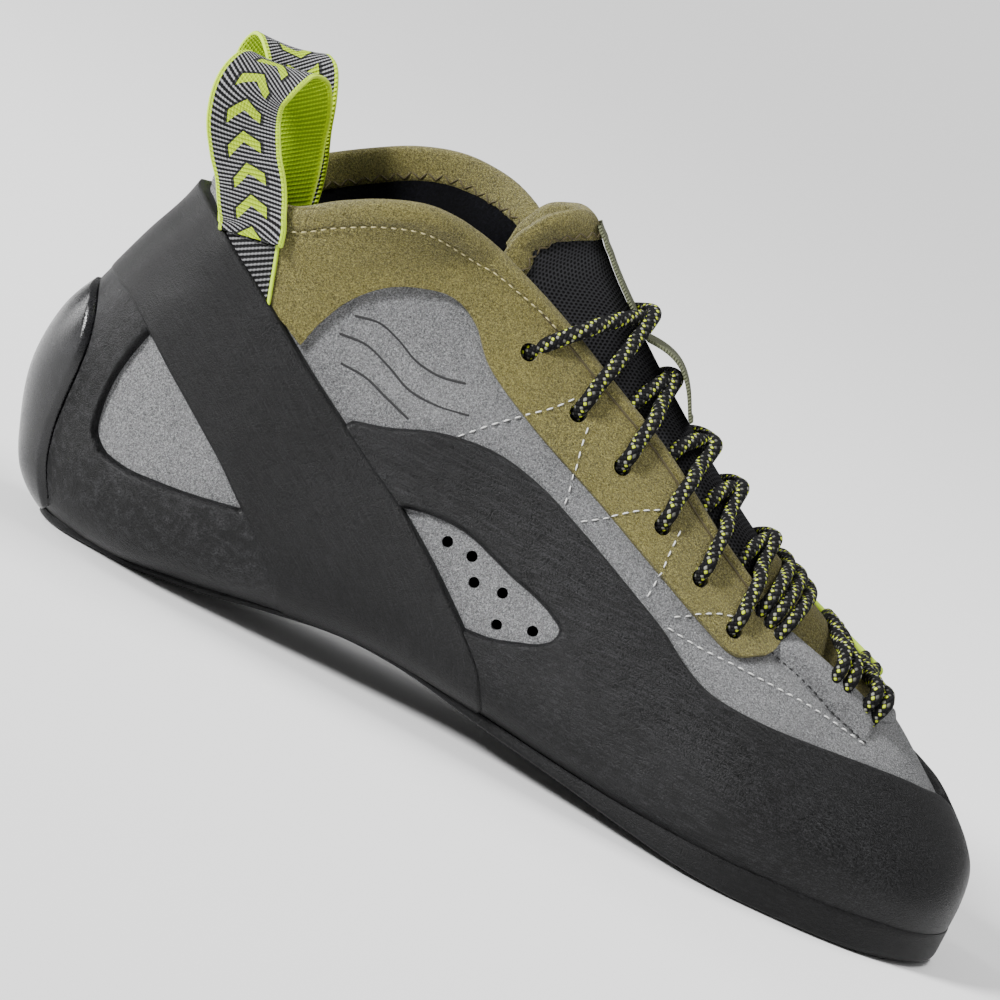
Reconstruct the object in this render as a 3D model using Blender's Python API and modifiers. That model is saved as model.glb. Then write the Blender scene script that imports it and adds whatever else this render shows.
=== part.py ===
"""Climbing shoe, right foot, standing empty on its sole. Metres, +Z up, +X toward the toe, +Y medial.

The upper, rands, straps and sole are all cut from one last: sections that run from the toe tip (u = 0)
to the ankle (u = 1). Round each section w runs from 0 at the base centre to 1 at the widest point and
2 at the crown, negative on the lateral side.
"""

import bmesh
import bpy
import numpy as np

# Driving sizes
LENGTH = 0.268
ANKLE_HEIGHT = 0.122
BALL_WIDTH = 0.092
TOE_TIP_X = 0.2666
TOE_TIP_Z = 0.014
TOE_ROUND_X = 0.205
PLAN_POWER = 2.4
CROWN_POWER = 4.0
BASE_POWER = 5.0

UPPER_WALL = 0.002
TONGUE_WALL = 0.0022
INSOLE_WALL = 0.0016
RAND_WALL = 0.0018
STRAP_WALL = 0.0023
HEEL_PATCH_WALL = 0.0027
FACING_WALL = 0.0012
WEBBING_WALL = 0.0013
WEBBING_WIDTH = 0.0172
KEEPER_WALL = 0.0009
KEEPER_WIDTH = 0.0105
LACE_DIAMETER = 0.0036
LACE_OVER_TONGUE = 0.0004
LACE_OVER_KEEPER = 0.0032
EYELET_BORE = 0.0046
RIDGE_HEIGHT = 0.0022
SOLE_BEVEL = 0.0012
FEATHER_RISE = 0.00035
TONGUE_TUCK = 0.16
TONGUE_CROWN = 0.0019
GAP = 0.0003
SEAT_GAP = 0.0006
RAND_SEAT_GAP = 0.0008
HEEL_SEAT_GAP = 0.0010
FACING_SEAT_GAP = 0.0009
EDGE_GAP = 0.0008
HEEL_REST_X = 0.030

LATERAL, MEDIAL = -1, 1

# Sections of the last, toe tip first. Base and crown points as shares of the length and the ankle
# height, half widths and centre as shares of the ball width, belly height as a share of the section,
# then how square the four quarters of each side are.
# base x, base z, crown x, crown z, lateral, medial, centre, belly, low base, low side, cheek, roof
SECTIONS = np.array([
    (0.995, 0.034, 0.995, 0.250, 0.473, 0.353, 0.060, 0.36, 1.00, 0.94, 0.42, 0.42),
    (0.933, 0.034, 0.933, 0.328, 0.473, 0.380, 0.056, 0.30, 1.00, 0.96, 0.38, 0.38),
    (0.877, 0.037, 0.877, 0.402, 0.475, 0.413, 0.050, 0.27, 1.00, 0.96, 0.32, 0.34),
    (0.821, 0.043, 0.821, 0.466, 0.484, 0.435, 0.043, 0.25, 1.00, 0.96, 0.28, 0.30),
    (0.746, 0.049, 0.746, 0.551, 0.500, 0.456, 0.033, 0.24, 1.00, 0.96, 0.27, 0.28),
    (0.672, 0.057, 0.672, 0.633, 0.478, 0.446, 0.024, 0.25, 1.00, 0.95, 0.28, 0.28),
    (0.597, 0.068, 0.597, 0.734, 0.446, 0.413, 0.016, 0.26, 0.98, 0.92, 0.30, 0.30),
    (0.504, 0.085, 0.545, 0.811, 0.408, 0.375, 0.011, 0.27, 0.94, 0.88, 0.32, 0.32),
    (0.403, 0.097, 0.504, 0.877, 0.370, 0.342, 0.005, 0.28, 0.90, 0.84, 0.36, 0.34),
    (0.299, 0.074, 0.474, 0.926, 0.342, 0.326, 0.000, 0.30, 0.87, 0.80, 0.42, 0.38),
    (0.205, 0.036, 0.453, 0.963, 0.332, 0.321, 0.000, 0.33, 0.84, 0.76, 0.46, 0.42),
    (0.131, 0.017, 0.440, 0.988, 0.326, 0.318, 0.000, 0.36, 0.80, 0.70, 0.48, 0.44),
    (0.075, 0.033, 0.431, 1.007, 0.321, 0.315, 0.000, 0.38, 0.66, 0.61, 0.50, 0.45),
    (0.045, 0.082, 0.425, 1.018, 0.315, 0.311, 0.000, 0.40, 0.60, 0.57, 0.50, 0.45),
    (0.026, 0.172, 0.421, 1.028, 0.308, 0.304, 0.000, 0.41, 0.58, 0.56, 0.50, 0.45),
    (0.013, 0.287, 0.416, 1.037, 0.300, 0.299, 0.000, 0.42, 0.58, 0.56, 0.50, 0.45),
    (0.016, 0.393, 0.412, 1.045, 0.293, 0.293, 0.000, 0.43, 0.58, 0.56, 0.50, 0.45),
    (0.032, 0.500, 0.409, 1.053, 0.293, 0.293, 0.000, 0.44, 0.58, 0.56, 0.50, 0.45),
    (0.050, 0.615, 0.405, 1.061, 0.302, 0.302, 0.000, 0.44, 0.58, 0.56, 0.50, 0.45),
    (0.069, 0.721, 0.401, 1.070, 0.313, 0.313, 0.000, 0.45, 0.58, 0.56, 0.50, 0.45),
    (0.078, 0.820, 0.397, 1.080, 0.324, 0.324, 0.000, 0.46, 0.58, 0.56, 0.50, 0.45),
    (0.082, 0.918, 0.394, 1.094, 0.335, 0.335, 0.000, 0.46, 0.58, 0.56, 0.50, 0.45),
])

# Underside of the sole: flat at heel and forefoot, arched between, with a little toe spring.
# x share of the length, height share of the ankle height
GROUND = np.array([
    (0.000, 0.0000), (0.075, 0.0000), (0.160, 0.0000), (0.216, 0.0180), (0.299, 0.0530),
    (0.358, 0.0740), (0.410, 0.0800), (0.448, 0.0760), (0.522, 0.0580), (0.597, 0.0420),
    (0.672, 0.0230), (0.746, 0.0060), (0.795, 0.0000), (0.918, 0.0000), (0.970, 0.0040),
    (1.000, 0.0090),
])
# Top edge of the sole round the shoe, where rands and upper end, in the same columns
RIM = np.array([
    (0.000, 0.047), (0.090, 0.036), (0.150, 0.032), (0.205, 0.050), (0.250, 0.068),
    (0.299, 0.086), (0.362, 0.102), (0.410, 0.110), (0.448, 0.109), (0.522, 0.102),
    (0.597, 0.091), (0.672, 0.081), (0.746, 0.074), (0.821, 0.067), (0.896, 0.060), (0.951, 0.057),
    (1.000, 0.057),
])
# Edge of the collar and throat, from the back of the heel to the toe end of the throat.
# x share of the length, lateral and medial height shares of the ankle height
OPENING = np.array([
    (0.077, 0.807, 0.807), (0.112, 0.808, 0.828), (0.155, 0.820, 0.890), (0.190, 0.872, 0.938),
    (0.226, 0.916, 0.982), (0.263, 0.943, 1.011), (0.295, 0.943, 1.020), (0.332, 0.925, 1.013),
    (0.372, 0.893, 0.977), (0.418, 0.852, 0.906), (0.485, 0.781, 0.803), (0.557, 0.705, 0.713),
    (0.631, 0.607, 0.611), (0.687, 0.541, 0.541), (0.724, 0.502, 0.502), (0.769, 0.467, 0.467),
    (0.820, 0.431, 0.431), (0.843, 0.415, 0.415),
])
THROAT_END_X = 0.858

# Facing of the collar and eyestay. Lower edge x and height shares, then the points above them
# on the edge of the opening
FACING = np.array([
    (0.2155, 0.590, 0.1670, 0.838), (0.2225, 0.648, 0.1940, 0.877), (0.2370, 0.713, 0.2260, 0.916),
    (0.2610, 0.767, 0.2630, 0.943), (0.2910, 0.797, 0.2950, 0.943), (0.3210, 0.805, 0.3320, 0.925),
    (0.3490, 0.776, 0.3720, 0.893), (0.3800, 0.710, 0.4180, 0.852), (0.4440, 0.639, 0.4850, 0.781),
    (0.5170, 0.576, 0.5570, 0.705), (0.5900, 0.508, 0.6310, 0.607), (0.6570, 0.446, 0.6870, 0.541),
    (0.6940, 0.419, 0.7100, 0.517), (0.7200, 0.438, 0.7220, 0.503),
])
FACING_BACK = np.array([(0.1850, 0.652), (0.1760, 0.740)])
# Sling strap: upper and lower edge from the back of the heel down to the arch, x and height shares
STRAP_UPPER = np.array([
    (0.0735, 0.766), (0.0840, 0.755), (0.1290, 0.700), (0.1790, 0.633), (0.2380, 0.551),
    (0.3170, 0.451), (0.3690, 0.389), (0.4090, 0.331), (0.4390, 0.282), (0.4730, 0.222),
    (0.4950, 0.179), (0.5160, 0.113),
])
STRAP_LOWER = np.array([
    (0.0330, 0.512), (0.0560, 0.506), (0.0920, 0.463), (0.1200, 0.422), (0.1560, 0.370),
    (0.1910, 0.318), (0.2260, 0.257), (0.2630, 0.193), (0.2900, 0.135), (0.3060, 0.092),
])
# Front edge of the heel patch, from its top down to the sole
HEEL_PATCH = np.array([
    (0.0290, 0.488), (0.0385, 0.452), (0.0460, 0.398), (0.0490, 0.331), (0.0500, 0.263),
    (0.0530, 0.193), (0.0600, 0.130), (0.0700, 0.083), (0.0790, 0.050),
])
HEEL_PATCH_TOP = 0.492
# Upper edge of the front rand on the lateral side, strap to toe, and how far the medial edge is above
RAND_TOP = np.array([
    (0.2865, 0.502), (0.3160, 0.519), (0.3610, 0.556), (0.4190, 0.572), (0.4690, 0.552),
    (0.5160, 0.514), (0.5900, 0.445), (0.6250, 0.410), (0.6620, 0.363), (0.6850, 0.343),
    (0.7090, 0.334), (0.7350, 0.330), (0.8110, 0.329), (0.8500, 0.329), (0.8890, 0.325),
    (0.9240, 0.312),
])
RAND_CROSS_X = 0.953
RAND_MEDIAL_RISE = 0.10
# Windows in the rubber that show the suede, x and height shares. The arch has its own on the lateral side
ARCH_WINDOW = np.array([
    (0.372, 0.388), (0.384, 0.401), (0.405, 0.407), (0.432, 0.403), (0.481, 0.371), (0.512, 0.354),
    (0.529, 0.339), (0.541, 0.320), (0.540, 0.301), (0.532, 0.283), (0.511, 0.262), (0.472, 0.234),
    (0.440, 0.272), (0.406, 0.332),
])
HEEL_WINDOW = np.array([
    (0.091, 0.461), (0.082, 0.411), (0.077, 0.338), (0.079, 0.282), (0.085, 0.234), (0.097, 0.212),
    (0.118, 0.204), (0.155, 0.211), (0.191, 0.223), (0.235, 0.243), (0.250, 0.275), (0.190, 0.380),
    (0.120, 0.470),
])
# Centres of the eyelets on both facings, top pair first
EYELETS = np.array([
    (0.403, 0.772), (0.468, 0.705), (0.526, 0.648), (0.583, 0.578), (0.635, 0.518), (0.684, 0.457),
])
# Free edge of the tongue, from its lower back corner round to the crown
TONGUE_TOP = np.array([
    (0.3500, 0.920), (0.3550, 0.958), (0.3675, 1.010), (0.3860, 1.050),
])
TONGUE_CROWN_U = 0.925
# Keeper on the crown: where it starts, and its free loop over the second crossing, in x shares
KEEPER_START_U = 0.86
KEEPER_LOOP = (0.498, 0.566)
KEEPER_LOOP_RISE = 0.0074
# Where the lace crossings meet on the crown, top one first, as x shares of the length
LACE_CROWNS = (0.483, 0.534, 0.593, 0.634, 0.684)
# Lace bars over the lower throat, at x shares of the length on the crown
LACE_BARS = (0.748, 0.797, 0.836)
LACE_BAR_SLANT = 0.006

# Pull loops: centre line of the webbing in metres, outer leg first, then the slope of its width in the
# side view and its turn in plan, in degrees. The medial loop mirrors this one, with its top higher.
PULL_LOOP = np.array([
    (0.0352, -0.0274, 0.0900, -26.0, -15.0), (0.0343, -0.0276, 0.0932, -20.0, -15.0),
    (0.0325, -0.0276, 0.0965, -14.0, -14.0), (0.0292, -0.0272, 0.1022, -22.0, -10.0),
    (0.0248, -0.0270, 0.1082, -26.0, -6.0), (0.0210, -0.0268, 0.1150, -14.0, 0.0),
    (0.0196, -0.0256, 0.1215, 0.0, 0.0), (0.0212, -0.0218, 0.1270, 6.0, 0.0),
    (0.0238, -0.0165, 0.1290, 8.0, 0.0), (0.0275, -0.0115, 0.1270, 4.0, 0.0),
    (0.0303, -0.0088, 0.1210, 0.0, 0.0), (0.0322, -0.0092, 0.1140, 0.0, -6.0),
    (0.0344, -0.0116, 0.1070, 0.0, -12.0), (0.0360, -0.0138, 0.1000, 0.0, -16.0),
    (0.0368, -0.0150, 0.0930, 0.0, -16.0),
])
MEDIAL_LOOP_RISE = 0.0050


def hermite(knots, values, at):
    """Smooth curve through the rows of values."""
    knots, values, at = (np.asarray(a, float) for a in (knots, values, at))
    slopes = np.gradient(values, knots, axis=0)
    k = np.clip(np.searchsorted(knots, at) - 1, 0, len(knots) - 2)
    span = knots[k + 1] - knots[k]
    t = (at - knots[k]) / span
    shape = t.shape + (1,) * (values.ndim - 1)
    t, span = t.reshape(shape), span.reshape(shape)
    return (
        (2 * t**3 - 3 * t**2 + 1) * values[k]
        + (t**3 - 2 * t**2 + t) * span * slopes[k]
        + (3 * t**2 - 2 * t**3) * values[k + 1]
        + (t**3 - t**2) * span * slopes[k + 1]
    )


def section_knots():
    """Spacing of the sections, mostly by their base points."""
    scale = np.array([LENGTH, ANKLE_HEIGHT])
    base, crown = SECTIONS[:, 0:2] * scale, SECTIONS[:, 2:4] * scale
    steps = [np.linalg.norm(np.diff(p, axis=0), axis=1) for p in (base, (base + crown) / 2)]
    knots = np.concatenate([[0.0], np.cumsum(0.7 * steps[0] + 0.3 * steps[1])])
    return knots / knots[-1]


KNOTS = section_knots()


def rounded(x, power):
    share = np.clip((x - TOE_ROUND_X) / (TOE_TIP_X - TOE_ROUND_X), 0, 1)
    return np.maximum(1 - share**power, 0) ** (1 / power)


def bezier(t, a, b, c, d):
    return (1 - t) ** 3 * a + 3 * (1 - t) ** 2 * t * b + 3 * (1 - t) * t**2 * c + t**3 * d


def last(u, w):
    """Point of the last's surface."""
    u, w = np.broadcast_arrays(np.asarray(u, float), np.asarray(w, float))
    w = (w + 2) % 4 - 2
    row = np.moveaxis(hermite(KNOTS, SECTIONS, u), -1, 0)
    bx, tx = row[0] * LENGTH, row[2] * LENGTH
    bz, tz = row[1] * ANKLE_HEIGHT, row[3] * ANKLE_HEIGHT
    half = np.where(w < 0, row[4], row[5]) * BALL_WIDTH * rounded(tx, PLAN_POWER)
    tz = TOE_TIP_Z + (tz - TOE_TIP_Z) * rounded(tx, CROWN_POWER)
    bz = np.where(bx > TOE_ROUND_X, TOE_TIP_Z - (TOE_TIP_Z - bz) * rounded(bx, BASE_POWER), bz)
    belly, low_base, low_side, cheek, roof = row[7:12]
    v = np.abs(w)
    low, t = v <= 1, np.where(v <= 1, v, v - 1)
    side = np.where(low, bezier(t, 0, low_base, 1, 1), bezier(t, 1, 1, roof, 0)) * half
    rise = np.where(
        low,
        bezier(t, 0, 0, belly * (1 - low_side), belly),
        bezier(t, belly, belly + (1 - belly) * cheek, 1, 1),
    )
    y = row[6] * BALL_WIDTH + np.sign(w) * side
    return np.stack([bx + (tx - bx) * rise, y, bz + (tz - bz) * rise], -1)


def outward(u, w):
    step = 1e-4
    along = last(np.clip(u + step, 0, 1), w) - last(np.clip(u - step, 0, 1), w)
    normal = np.cross(along, last(u, w + step) - last(u, w - step))
    size = np.linalg.norm(normal, axis=-1, keepdims=True)
    return np.where(size > 1e-12, normal / np.maximum(size, 1e-15), [1.0, 0.0, 0.0])


def skin(uw, lift=0.0):
    """Points at a height over the last, for an array of (u, w)."""
    u, w = uw[..., 0], uw[..., 1]
    return last(u, w) + outward(u, w) * np.broadcast_to(lift, u.shape)[..., None]


def on_side(points, side):
    """(u, w) of points given by x and height shares in the side view."""
    points = np.atleast_2d(points)[:, :2] * [LENGTH, ANKLE_HEIGHT]
    u, v = (a.ravel() for a in np.meshgrid(np.linspace(0, 1, 260), np.linspace(0, 2, 160)))
    flat = last(u, side * v)[:, [0, 2]]
    near = np.array([np.argmin(((flat - point) ** 2).sum(1)) for point in points])
    u, v = u[near], v[near]
    step = 1e-5
    for _ in range(12):
        here = last(u, side * v)[:, [0, 2]]
        by_u = (last(np.minimum(u + step, 1), side * v)[:, [0, 2]] - here) / step
        by_v = (here - last(u, side * np.maximum(v - step, 0))[:, [0, 2]]) / step
        area = by_u[:, 0] * by_v[:, 1] - by_u[:, 1] * by_v[:, 0]
        area = np.where(np.abs(area) < 1e-7, np.inf, area)
        off = points - here
        move_u = (off[:, 0] * by_v[:, 1] - off[:, 1] * by_v[:, 0]) / area
        move_v = (by_u[:, 0] * off[:, 1] - by_u[:, 1] * off[:, 0]) / area
        u = np.clip(u + np.clip(move_u, -0.004, 0.004), 0, 1)
        v = np.clip(v + np.clip(move_v, -0.013, 0.013), 0, 2)
    return np.stack([u, side * v], 1)


def spaced(path, count):
    """The path again, with points evenly spaced along its length on the last."""
    points = last(path[:, 0], path[:, 1])
    run = np.concatenate([[0.0], np.cumsum(np.linalg.norm(np.diff(points, axis=0), axis=1))])
    at = np.linspace(0, run[-1], count) if np.isscalar(count) else np.asarray(count) * run[-1]
    return np.stack([np.interp(at, run, path[:, 0]), np.interp(at, run, path[:, 1])], 1)


def smooth_side(table, side, count, from_back=False):
    """An edge given in the side view, as evenly spaced (u, w). It may start on the back centre."""
    steps = np.linalg.norm(np.diff(table * [LENGTH, ANKLE_HEIGHT], axis=0), axis=1)
    run = np.concatenate([[0.0], np.cumsum(steps)])
    dense = on_side(hermite(run, table, np.linspace(0, run[-1], 3 * count)), side)
    if from_back:
        rest = dense[np.argmax(np.abs(dense[:, 1]) > 0.2):]
        dense = np.concatenate([[[dense[0, 0], 0.0]], rest])
    return spaced(dense, count)


def shifted(table, gap):
    """A side view edge moved sideways by a gap."""
    scale = np.array([LENGTH, ANKLE_HEIGHT])
    along = np.gradient(table * scale, axis=0)
    normal = np.stack([-along[:, 1], along[:, 0]], 1) / np.linalg.norm(along, axis=1)[:, None]
    return table + normal * gap / scale


def rim_height(x):
    return hermite(RIM[:, 0] * LENGTH, RIM[:, 1] * ANKLE_HEIGHT, np.clip(x, 0, LENGTH))


def ground_height(x):
    return np.maximum(hermite(GROUND[:, 0] * LENGTH, GROUND[:, 1] * ANKLE_HEIGHT, np.clip(x, 0, LENGTH)), 0)


def over_rim(u, w, level):
    point = last(u, w)
    return point[..., 2] - rim_height(point[..., 0]) - level


def feather_ends(level):
    """The two u where the base centre crosses the rim, at the toe and at the heel."""
    ends = []
    for high, low in ((0.0, 0.15), (0.80, 0.60)):
        for _ in range(40):
            middle = (high + low) / 2
            high, low = (middle, low) if over_rim(middle, 0.0, level) > 0 else (high, middle)
        ends.append((high + low) / 2)
    return ends


def feather(u, side, level=0.0):
    """w on the rim line for each u, 0 where the whole section lies over it."""
    low, high = np.zeros_like(u), np.ones_like(u)
    for _ in range(34):
        middle = (low + high) / 2
        above = over_rim(u, side * middle, level) > 0
        low, high = np.where(above, low, middle), np.where(above, middle, high)
    return side * np.where(over_rim(u, 0 * u, level) > 0, 0.0, (low + high) / 2)


def eased(count):
    return (1 - np.cos(np.linspace(0, np.pi, count))) / 2


def coons(bottom, top, left, right):
    """Grid between four edges that share their corners, spaced like its left edge."""
    s = np.linspace(0, 1, len(bottom))[:, None, None]
    run = np.concatenate([[0.0], np.cumsum(np.linalg.norm(np.diff(left, axis=0), axis=1))])
    t = (run / run[-1])[None, :, None]
    edges = (1 - t) * bottom[:, None] + t * top[:, None] + (1 - s) * left[None] + s * right[None]
    corners = (
        (1 - s) * (1 - t) * bottom[0] + s * (1 - t) * bottom[-1]
        + (1 - s) * t * top[0] + s * t * top[-1]
    )
    return edges - corners


def ruled(bottom, top, cells, crowd=1.0):
    """Grid of straight lines in (u, w), with its cells crowded toward the bottom."""
    t = (np.linspace(0, 1, cells + 1) ** crowd)[None, :, None]
    return (1 - t) * bottom[:, None] + t * top[:, None]


def straight(start, end, count):
    return start + (end - start) * np.linspace(0, 1, count)[:, None]


def material(name, color, roughness, metallic=0.0):
    made = bpy.data.materials.new(name)
    made.use_nodes = True
    shader = made.node_tree.nodes["Principled BSDF"]
    shader.inputs["Base Color"].default_value = (*color, 1.0)
    shader.inputs["Roughness"].default_value = roughness
    shader.inputs["Metallic"].default_value = metallic
    return made


def add_object(name, mesh, surface, collection):
    made = bpy.data.objects.new(name, mesh)
    mesh.materials.clear()
    mesh.materials.append(surface)
    mesh.shade_smooth()
    mesh.set_sharp_from_angle(angle=np.radians(40))
    collection.objects.link(made)
    return made


def grid_mesh(name, grids):
    """One mesh from grids of 3D points, welded where they meet."""
    bm = bmesh.new()
    for grid in grids:
        rows = [[bm.verts.new(p) for p in row] for row in grid]
        for i in range(len(rows) - 1):
            for j in range(len(rows[0]) - 1):
                bm.faces.new((rows[i][j], rows[i + 1][j], rows[i + 1][j + 1], rows[i][j + 1]))
    bmesh.ops.remove_doubles(bm, verts=bm.verts, dist=2e-6)
    bmesh.ops.dissolve_degenerate(bm, edges=bm.edges, dist=1e-6)
    bmesh.ops.recalc_face_normals(bm, faces=bm.faces)
    mesh = bpy.data.meshes.new(name)
    bm.to_mesh(mesh)
    bm.free()
    return mesh


def faces_out(mesh, grid_points, grid_normals):
    """Turns an open sheet so that it faces away from the last."""
    centre = np.mean([np.array(p.center) for p in mesh.polygons[:40]], axis=0)
    score = 0.0
    flat, normals = grid_points.reshape(-1, 3), grid_normals.reshape(-1, 3)
    for polygon in list(mesh.polygons)[:: max(1, len(mesh.polygons) // 60)]:
        centre = np.array(polygon.center)
        near = np.argmin(((flat - centre) ** 2).sum(1))
        score += float(np.dot(normals[near], np.array(polygon.normal))) * polygon.area
    if score < 0:
        mesh.flip_normals()


def shell(name, grids, lift, wall, surface, collection, inward=False):
    """A sheet of (u, w) grids over the last, given its thickness by Solidify."""
    lifts = [lift(g) if callable(lift) else lift for g in grids]
    points = [skin(g, h) for g, h in zip(grids, lifts)]
    mesh = grid_mesh(name, points)
    normals = np.concatenate([outward(g[..., 0], g[..., 1]).reshape(-1, 3) for g in grids])
    faces_out(mesh, np.concatenate([p.reshape(-1, 3) for p in points]), normals)
    made = add_object(name, mesh, surface, collection)
    solid = made.modifiers.new("Wall", "SOLIDIFY")
    solid.thickness = wall
    solid.offset = -1.0 if inward else 1.0
    solid.use_quality_normals = True
    return made


def cut(target, cutter):
    hole = target.modifiers.new("Cut " + cutter.name, "BOOLEAN")
    hole.operation = "DIFFERENCE"
    hole.solver = "EXACT"
    hole.object = cutter


def as_cutter(made):
    made.hide_render = True
    made.display_type = "WIRE"
    return made


def prism(name, table, middle, half, collection):
    """A side view outline, extruded across the shoe about a middle y."""
    curve = bpy.data.curves.new(name, "CURVE")
    curve.dimensions = "2D"
    curve.fill_mode = "BOTH"
    curve.extrude = half
    spline = curve.splines.new("POLY")
    spline.points.add(len(table) - 1)
    for point, (x, z) in zip(spline.points, table * [LENGTH, ANKLE_HEIGHT]):
        point.co = (x, z, 0.0, 1.0)
    spline.use_cyclic_u = True
    flat = bpy.data.objects.new(name + "_outline", curve)
    flat.rotation_euler = (np.pi / 2, 0, 0)
    flat.location = (0, middle, 0)
    return meshed(name, [flat], None, collection)[0]


def meshed(name, flats, surface, collection):
    """Curve objects turned into welded mesh objects."""
    made = []
    for index, flat in enumerate(flats):
        bpy.context.scene.collection.objects.link(flat)
        bpy.context.view_layer.update()
        graph = bpy.context.evaluated_depsgraph_get()
        mesh = bpy.data.meshes.new_from_object(flat.evaluated_get(graph))
        bm = bmesh.new()
        bm.from_mesh(mesh)
        bmesh.ops.remove_doubles(bm, verts=bm.verts, dist=1e-6)
        bmesh.ops.recalc_face_normals(bm, faces=bm.faces)
        bm.to_mesh(mesh)
        bm.free()
        item = bpy.data.objects.new(name if index == 0 else f"{name}_{index}", mesh)
        item.matrix_world = flat.matrix_world
        mesh.materials.clear()
        if surface:
            mesh.materials.append(surface)
            mesh.shade_smooth()
        collection.objects.link(item)
        bpy.data.objects.remove(flat)
        made.append(item)
    return made


def tube_curve(name, points, diameter):
    curve = bpy.data.curves.new(name, "CURVE")
    curve.dimensions = "3D"
    curve.bevel_depth = diameter / 2
    curve.bevel_resolution = 2
    curve.use_fill_caps = True
    spline = curve.splines.new("POLY")
    spline.points.add(len(points) - 1)
    for point, co in zip(spline.points, points):
        point.co = (*co, 1.0)
    return bpy.data.objects.new(name + "_line", curve)


def opening_edge(side, count):
    """The collar and throat edge, back of the heel first, ending on the crown."""
    table = np.stack([OPENING[:, 0], OPENING[:, 1] if side == LATERAL else OPENING[:, 2]], 1)
    run = np.linspace(0, 1, len(table))
    dense = on_side(hermite(run, table, np.linspace(0, 1, 90)), side)
    dense[0, 1] = 0.0
    end = crown_at(THROAT_END_X)
    curl = np.array([
        dense[-1] * (1 - t) + np.array([end, side * 2.0]) * t
        + np.array([0.006 * np.sin(np.pi * t) * -1, 0.0])
        for t in np.linspace(0.2, 1, 6)
    ])
    return spaced(np.concatenate([dense, curl]), count)


def crown_at(share):
    """u where the crown line has this x share."""
    u = np.linspace(0, 0.6, 600)
    return float(np.interp(-share * LENGTH, -last(u, 2.0)[:, 0], u))


def throat_width(u, side):
    """w of the throat edge for each u ahead of the collar."""
    edge = opening_edge(side, 240)[::-1]
    rising = edge[: np.argmax(edge[:, 0]) + 1]
    return np.interp(u, rising[:, 0], rising[:, 1])


def toe_stations(level, count):
    """u from the toe tip to the toe end of the sole, closer together at the tip."""
    return feather_ends(level)[0] * np.linspace(0, 1, count) ** 2


def upper_grid(side):
    """Toe and forefoot follow the sections, and the heel is ruled from the sole to the collar."""
    toe, heel = feather_ends(0.0)
    turn = on_side([(0.560, 0.70)], side)[0][0]
    foot = toe + (heel - toe) * eased(46)
    front = np.concatenate([toe_stations(0.0, 5), foot[(foot > toe) & (foot < turn)][::2]])
    crown = crown_at(THROAT_END_X)
    front = np.sort(np.append(front, [crown, crown + 0.012]))
    top = np.where(front <= crown, side * 2.0, throat_width(front, side))
    bottom = np.stack([front, feather(front, side)], 1)
    top = np.stack([front, top], 1)
    back = foot[foot >= turn][::-1]
    back = np.concatenate([back[::-1], [heel]])
    count = 17
    low = spaced(np.stack([back, feather(back, side)], 1), 1 - (1 - np.linspace(0, 1, count)) ** 1.3)
    low[:-1, 1] = feather(low[:-1, 0], side)
    edge = opening_edge(side, 400)[::-1]
    split = np.argmax(edge[:, 0] >= back[0])
    high = spaced(edge[split:], count)
    low[-1, 1] = high[-1, 1] = 0.0
    return ruled(np.concatenate([bottom, low]), np.concatenate([top, high]), 10, 1.35)


def ridge(grid):
    """Padded ridge beside the lower throat."""
    u, w = grid[..., 0], grid[..., 1]
    edge = np.abs(throat_width(u, LATERAL))
    inner, outer = crown_at(0.845), crown_at(0.735)
    span = np.clip((u - inner) / (outer - inner), 0, 1)
    along = np.sin(np.pi * span) ** 0.5 * (w < 0)
    across = np.exp(-(((np.abs(w) - edge + 0.07) / 0.06) ** 2))
    return RIDGE_HEIGHT * along * across


def build_upper(surface, collection, holes):
    made = shell("upper", [upper_grid(LATERAL), upper_grid(MEDIAL)], ridge, UPPER_WALL, surface, collection, True)
    cut(made, holes)


def sole_plan(level, count):
    """Stations of the sole's top under the last: u and the rim line's w on both sides."""
    toe, heel = feather_ends(level)
    u = toe + (heel - toe) * eased(count)
    lateral, medial = feather(u, LATERAL, level), feather(u, MEDIAL, level)
    lateral[[0, -1]] = medial[[0, -1]] = 0.0
    return u, lateral, medial


def build_outsole(surface, collection):
    """Top fitted to the last, an edge flush with the rands, and the underside on its ground line."""
    u, lateral, medial = sole_plan(-FEATHER_RISE, 33)
    columns = 6
    t = np.linspace(0, 1, columns + 1)[None, :]
    t = (t + eased(columns + 1)[None, :]) / 2
    grid = np.stack([np.broadcast_to(u[:, None], (len(u), columns + 1)),
                     lateral[:, None] * (1 - t) + medial[:, None] * t], -1)
    top = skin(grid, GAP)
    reach = GAP + RAND_WALL + 0.0002
    rim = {side: skin(np.stack([u, w], 1), reach) for side, w in ((LATERAL, lateral), (MEDIAL, medial))}
    for line in rim.values():
        line[:, 2] = np.maximum(line[:, 2], ground_height(line[:, 0]) + SOLE_BEVEL * 1.4)
    centre = (rim[LATERAL] + rim[MEDIAL]) / 2
    lower, bottom = {}, {}
    for side, line in rim.items():
        lower[side] = line.copy()
        lower[side][:, 2] = ground_height(line[:, 0]) + SOLE_BEVEL
        inward = centre - line
        size = np.maximum(np.linalg.norm(inward[:, :2], axis=1, keepdims=True), 1e-9)
        bottom[side] = line + inward / size * np.minimum(SOLE_BEVEL, size)
        bottom[side][:, 0] += np.array([-1, 1])[(u > u.mean()).astype(int)] * SOLE_BEVEL * (size[:, 0] < SOLE_BEVEL)
    under = bottom[LATERAL][:, None] * (1 - t)[..., None] + bottom[MEDIAL][:, None] * t[..., None]
    under[..., 2] = ground_height(under[..., 0])
    grids = [top, under]
    for side, column in ((LATERAL, 0), (MEDIAL, columns)):
        grids.append(np.stack([top[:, column], rim[side], lower[side], under[:, column]], 1))
    mesh = grid_mesh("outsole", grids)
    made = add_object("outsole", mesh, surface, collection)
    return made


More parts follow.
